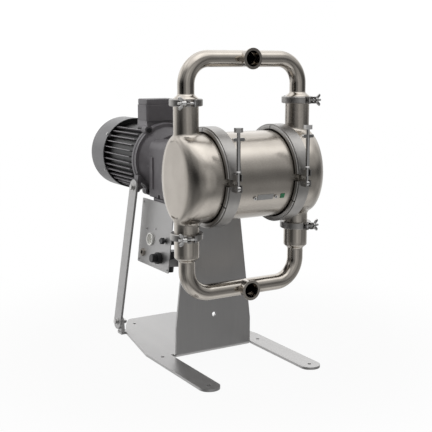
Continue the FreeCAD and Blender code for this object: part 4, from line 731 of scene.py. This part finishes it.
def socketShadePart(point, out, reach):
    # painted shade of a cap screw's hexagon recess: a dark plate a hair above the head
    axis, first, second = axes(out)
    turn = np.radians(np.arange(6) * 60.0)
    outline = np.stack([np.cos(turn), np.sin(turn)], -1) * reach / 1000.0
    return slabPart(outline, np.array(point) + axis * socketLook["lift"], first, second, socketLook["thick"])


def socketShadeParts():
    parts = []
    c = socketLook["panel"]
    for y, z in c["at"]:
        parts.append(socketShadePart(onPanel(y, z) + panelOut * c["head"], panelOut, c["reach"]))
    c = socketLook["cowl"]
    for degrees in c["at"]:
        ray = np.array((math.sin(math.radians(degrees)), 0.0, math.cos(math.radians(degrees))))
        parts.append(socketShadePart(np.array((0, c["y"], axisZ)) + ray * c["head"], ray, c["reach"]))
    c = socketLook["drum"]
    down = math.radians(c["down"])
    for x in c["at"]:
        ray = np.array((0.0, -math.cos(down), -math.sin(down)))
        parts.append(socketShadePart(np.array((x, axisY, axisZ)) + ray * c["head"], ray, c["reach"]))
    return parts


makePiece("screwSocketShade", socketShadeParts(), "blackNylon", root, ())
print("panel details made")


# terminal box lid: rounded rectangle outline, carried up a profile of (inset, height) with a groove at the joint
lidLook = {"half": 60.0, "front": 500.0, "back": 580.0, "corner": 8.0, "leastCorner": 2.0,
           "profile": [(0, 806.0), (0, 813.0), (0.6, 813.8), (3.0, 814.2), (3.0, 815.4), (1.8, 816.0), (1.8, 830.0),
                       (2.6, 832.6), (4.6, 834.0), (8.0, 834.4)]}


def lidPart():
    c = lidLook
    turn = np.radians(np.linspace(0, 90, 9))
    middle = (c["front"] + c["back"]) / 2
    deep = (c["back"] - c["front"]) / 2
    rows = []
    for inset, height in c["profile"]:
        bend = max(c["corner"] - inset, c["leastCorner"])
        ring = []
        for k, (signX, signY) in enumerate(((1, 1), (-1, 1), (-1, -1), (1, -1))):
            corner = np.array([signX * (c["half"] - inset - bend), signY * (deep - inset - bend)])
            arc = turn + k * np.pi / 2
            ring.append(corner + bend * np.stack([np.cos(arc), np.sin(arc)], -1))
        ring = np.concatenate(ring)
        rows.append(np.concatenate([ring + (0, middle), np.full((len(ring), 1), height)], 1))
    return gridPart(np.array(rows) / 1000.0, capEnds=True)


makePiece("terminalLid", [lidPart()], "paintedCasting", root, ["terminal_lid"])

# black ring in the air gap between the motor's fins and its cowl, as painted shade, so that no daylight shows through
gapShadeY = 0.7475
gapShadeProfile = [(-0.4, 112.5), (-0.4, 130.8), (0.4, 130.8), (0.4, 112.5)]
makePiece("airGapPaintedShade", [turnedPart(millimetres(gapShadeProfile), (0, gapShadeY, axisZ), (0, 1, 0), 96)], "blackNylon", root,
          ())
print("motor details made")


# which finish each carried-over node takes, and how far its edges are eased in millimetres
nodeLooks = {
    "blastedStainless": {"drum": 0.8, "cover_left": 0, "cover_right": 0},
    "polishedTube": {"manifold_top": 0, "manifold_bottom": 0, "air_inlet": 0.5},
    "tumbledCasting": {"pipe_clamps": 0.9, "bands": 0.9},
    "turnedStainless": {"band_rod_left": 0.5, "band_rod_right": 0.5, "band_nut_left": 0.6, "band_nut_right": 0.6,
                        "strut_bolts": 0.6, "small_screws": 0, "valve_stops": 0.2, "valve_seats": 0.3,
                        "cable_gland": 0.5, "inner_plates": 0.5, "outer_plates": 0.5},
    "etchedPlate": {"nameplate": 0},
    "brushedSheet": {"stand": 0.8, "motor_struts": 0.9, "panel": 0.5},
    "paintedCasting": {"gear_case": 1.6, "bell_housing": 1.2, "end_shield": 1.0,
                       "terminal_box": 0.8, "terminal_lid": 0},
    "finnedCasting": {"motor_frame": 0.5},
    "paintedSheet": {"fan_cowl": 0.4},
    "blackenedSteel": {"housing_bolts": 0.6},
    "groundSteel": {"slide_shaft": 0.5, "crank_shaft": 0.4, "layshaft": 0.3, "rotor": 0.3, "bearings": 0.3},
    "blackNylon": {"regulator": 0.8, "regulator_knob": 0.4, "air_valve": 0.6, "valve_knob": 0.9, "fan": 0.4,
                   "gauge_pointer": 0.1},
    "enamelDial": {"gauge": 0.4},
    "whiteElastomer": {"ball_upper_left": 0, "ball_upper_right": 0, "ball_lower_left": 0, "ball_lower_right": 0,
                       "diaphragm_left": 0.3, "diaphragm_right": 0.3},
    "blackElastomer": {"pipe_gaskets": 0.2},
    "enamelledCopper": {"stator": 0.4},
    "greenNylon": {"status_tag": 0},
}
for corner in ("upper_left", "upper_right", "lower_left", "lower_right"):
    nodeLooks["turnedStainless"]["clamp_bolt_" + corner] = 0.4
    nodeLooks["turnedStainless"]["clamp_nut_" + corner] = 0.7


# bevel steps, angles in degrees from which an edge is eased or split, and the weld distance in metres
edgeLook = {"segments": 2, "easedFrom": 32, "splitFrom": 30, "weld": 1e-6}


def dress(name, look, eased):
    # the node keeps its mesh; after a weld, eased edges catch the light as machined or cast metal does, and a node with
    # none gets crisp ones
    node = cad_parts[name]
    node.data.materials.clear()
    node.data.materials.append(finish(look))
    weld = node.modifiers.new("weld", "WELD")
    weld.merge_threshold = edgeLook["weld"]
    if eased:
        edge = node.modifiers.new("easedEdge", "BEVEL")
        edge.width = eased / 1000.0
        edge.segments = edgeLook["segments"]
        edge.limit_method = "ANGLE"
        edge.angle_limit = math.radians(edgeLook["easedFrom"])
        edge.use_clamp_overlap = True
        even = node.modifiers.new("evenShading", "WEIGHTED_NORMAL")
        even.keep_sharp = True
    else:
        crisp = node.modifiers.new("crispEdges", "EDGE_SPLIT")
        crisp.split_angle = math.radians(edgeLook["splitFrom"])
    for polygon in node.data.polygons:
        polygon.use_smooth = True


for look, names in nodeLooks.items():
    for name, eased in names.items():
        dress(name, look, eased)
undressed = sorted(set(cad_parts) - {n for names in nodeLooks.values() for n in names})
print("carried-over nodes dressed, left over:", undressed)
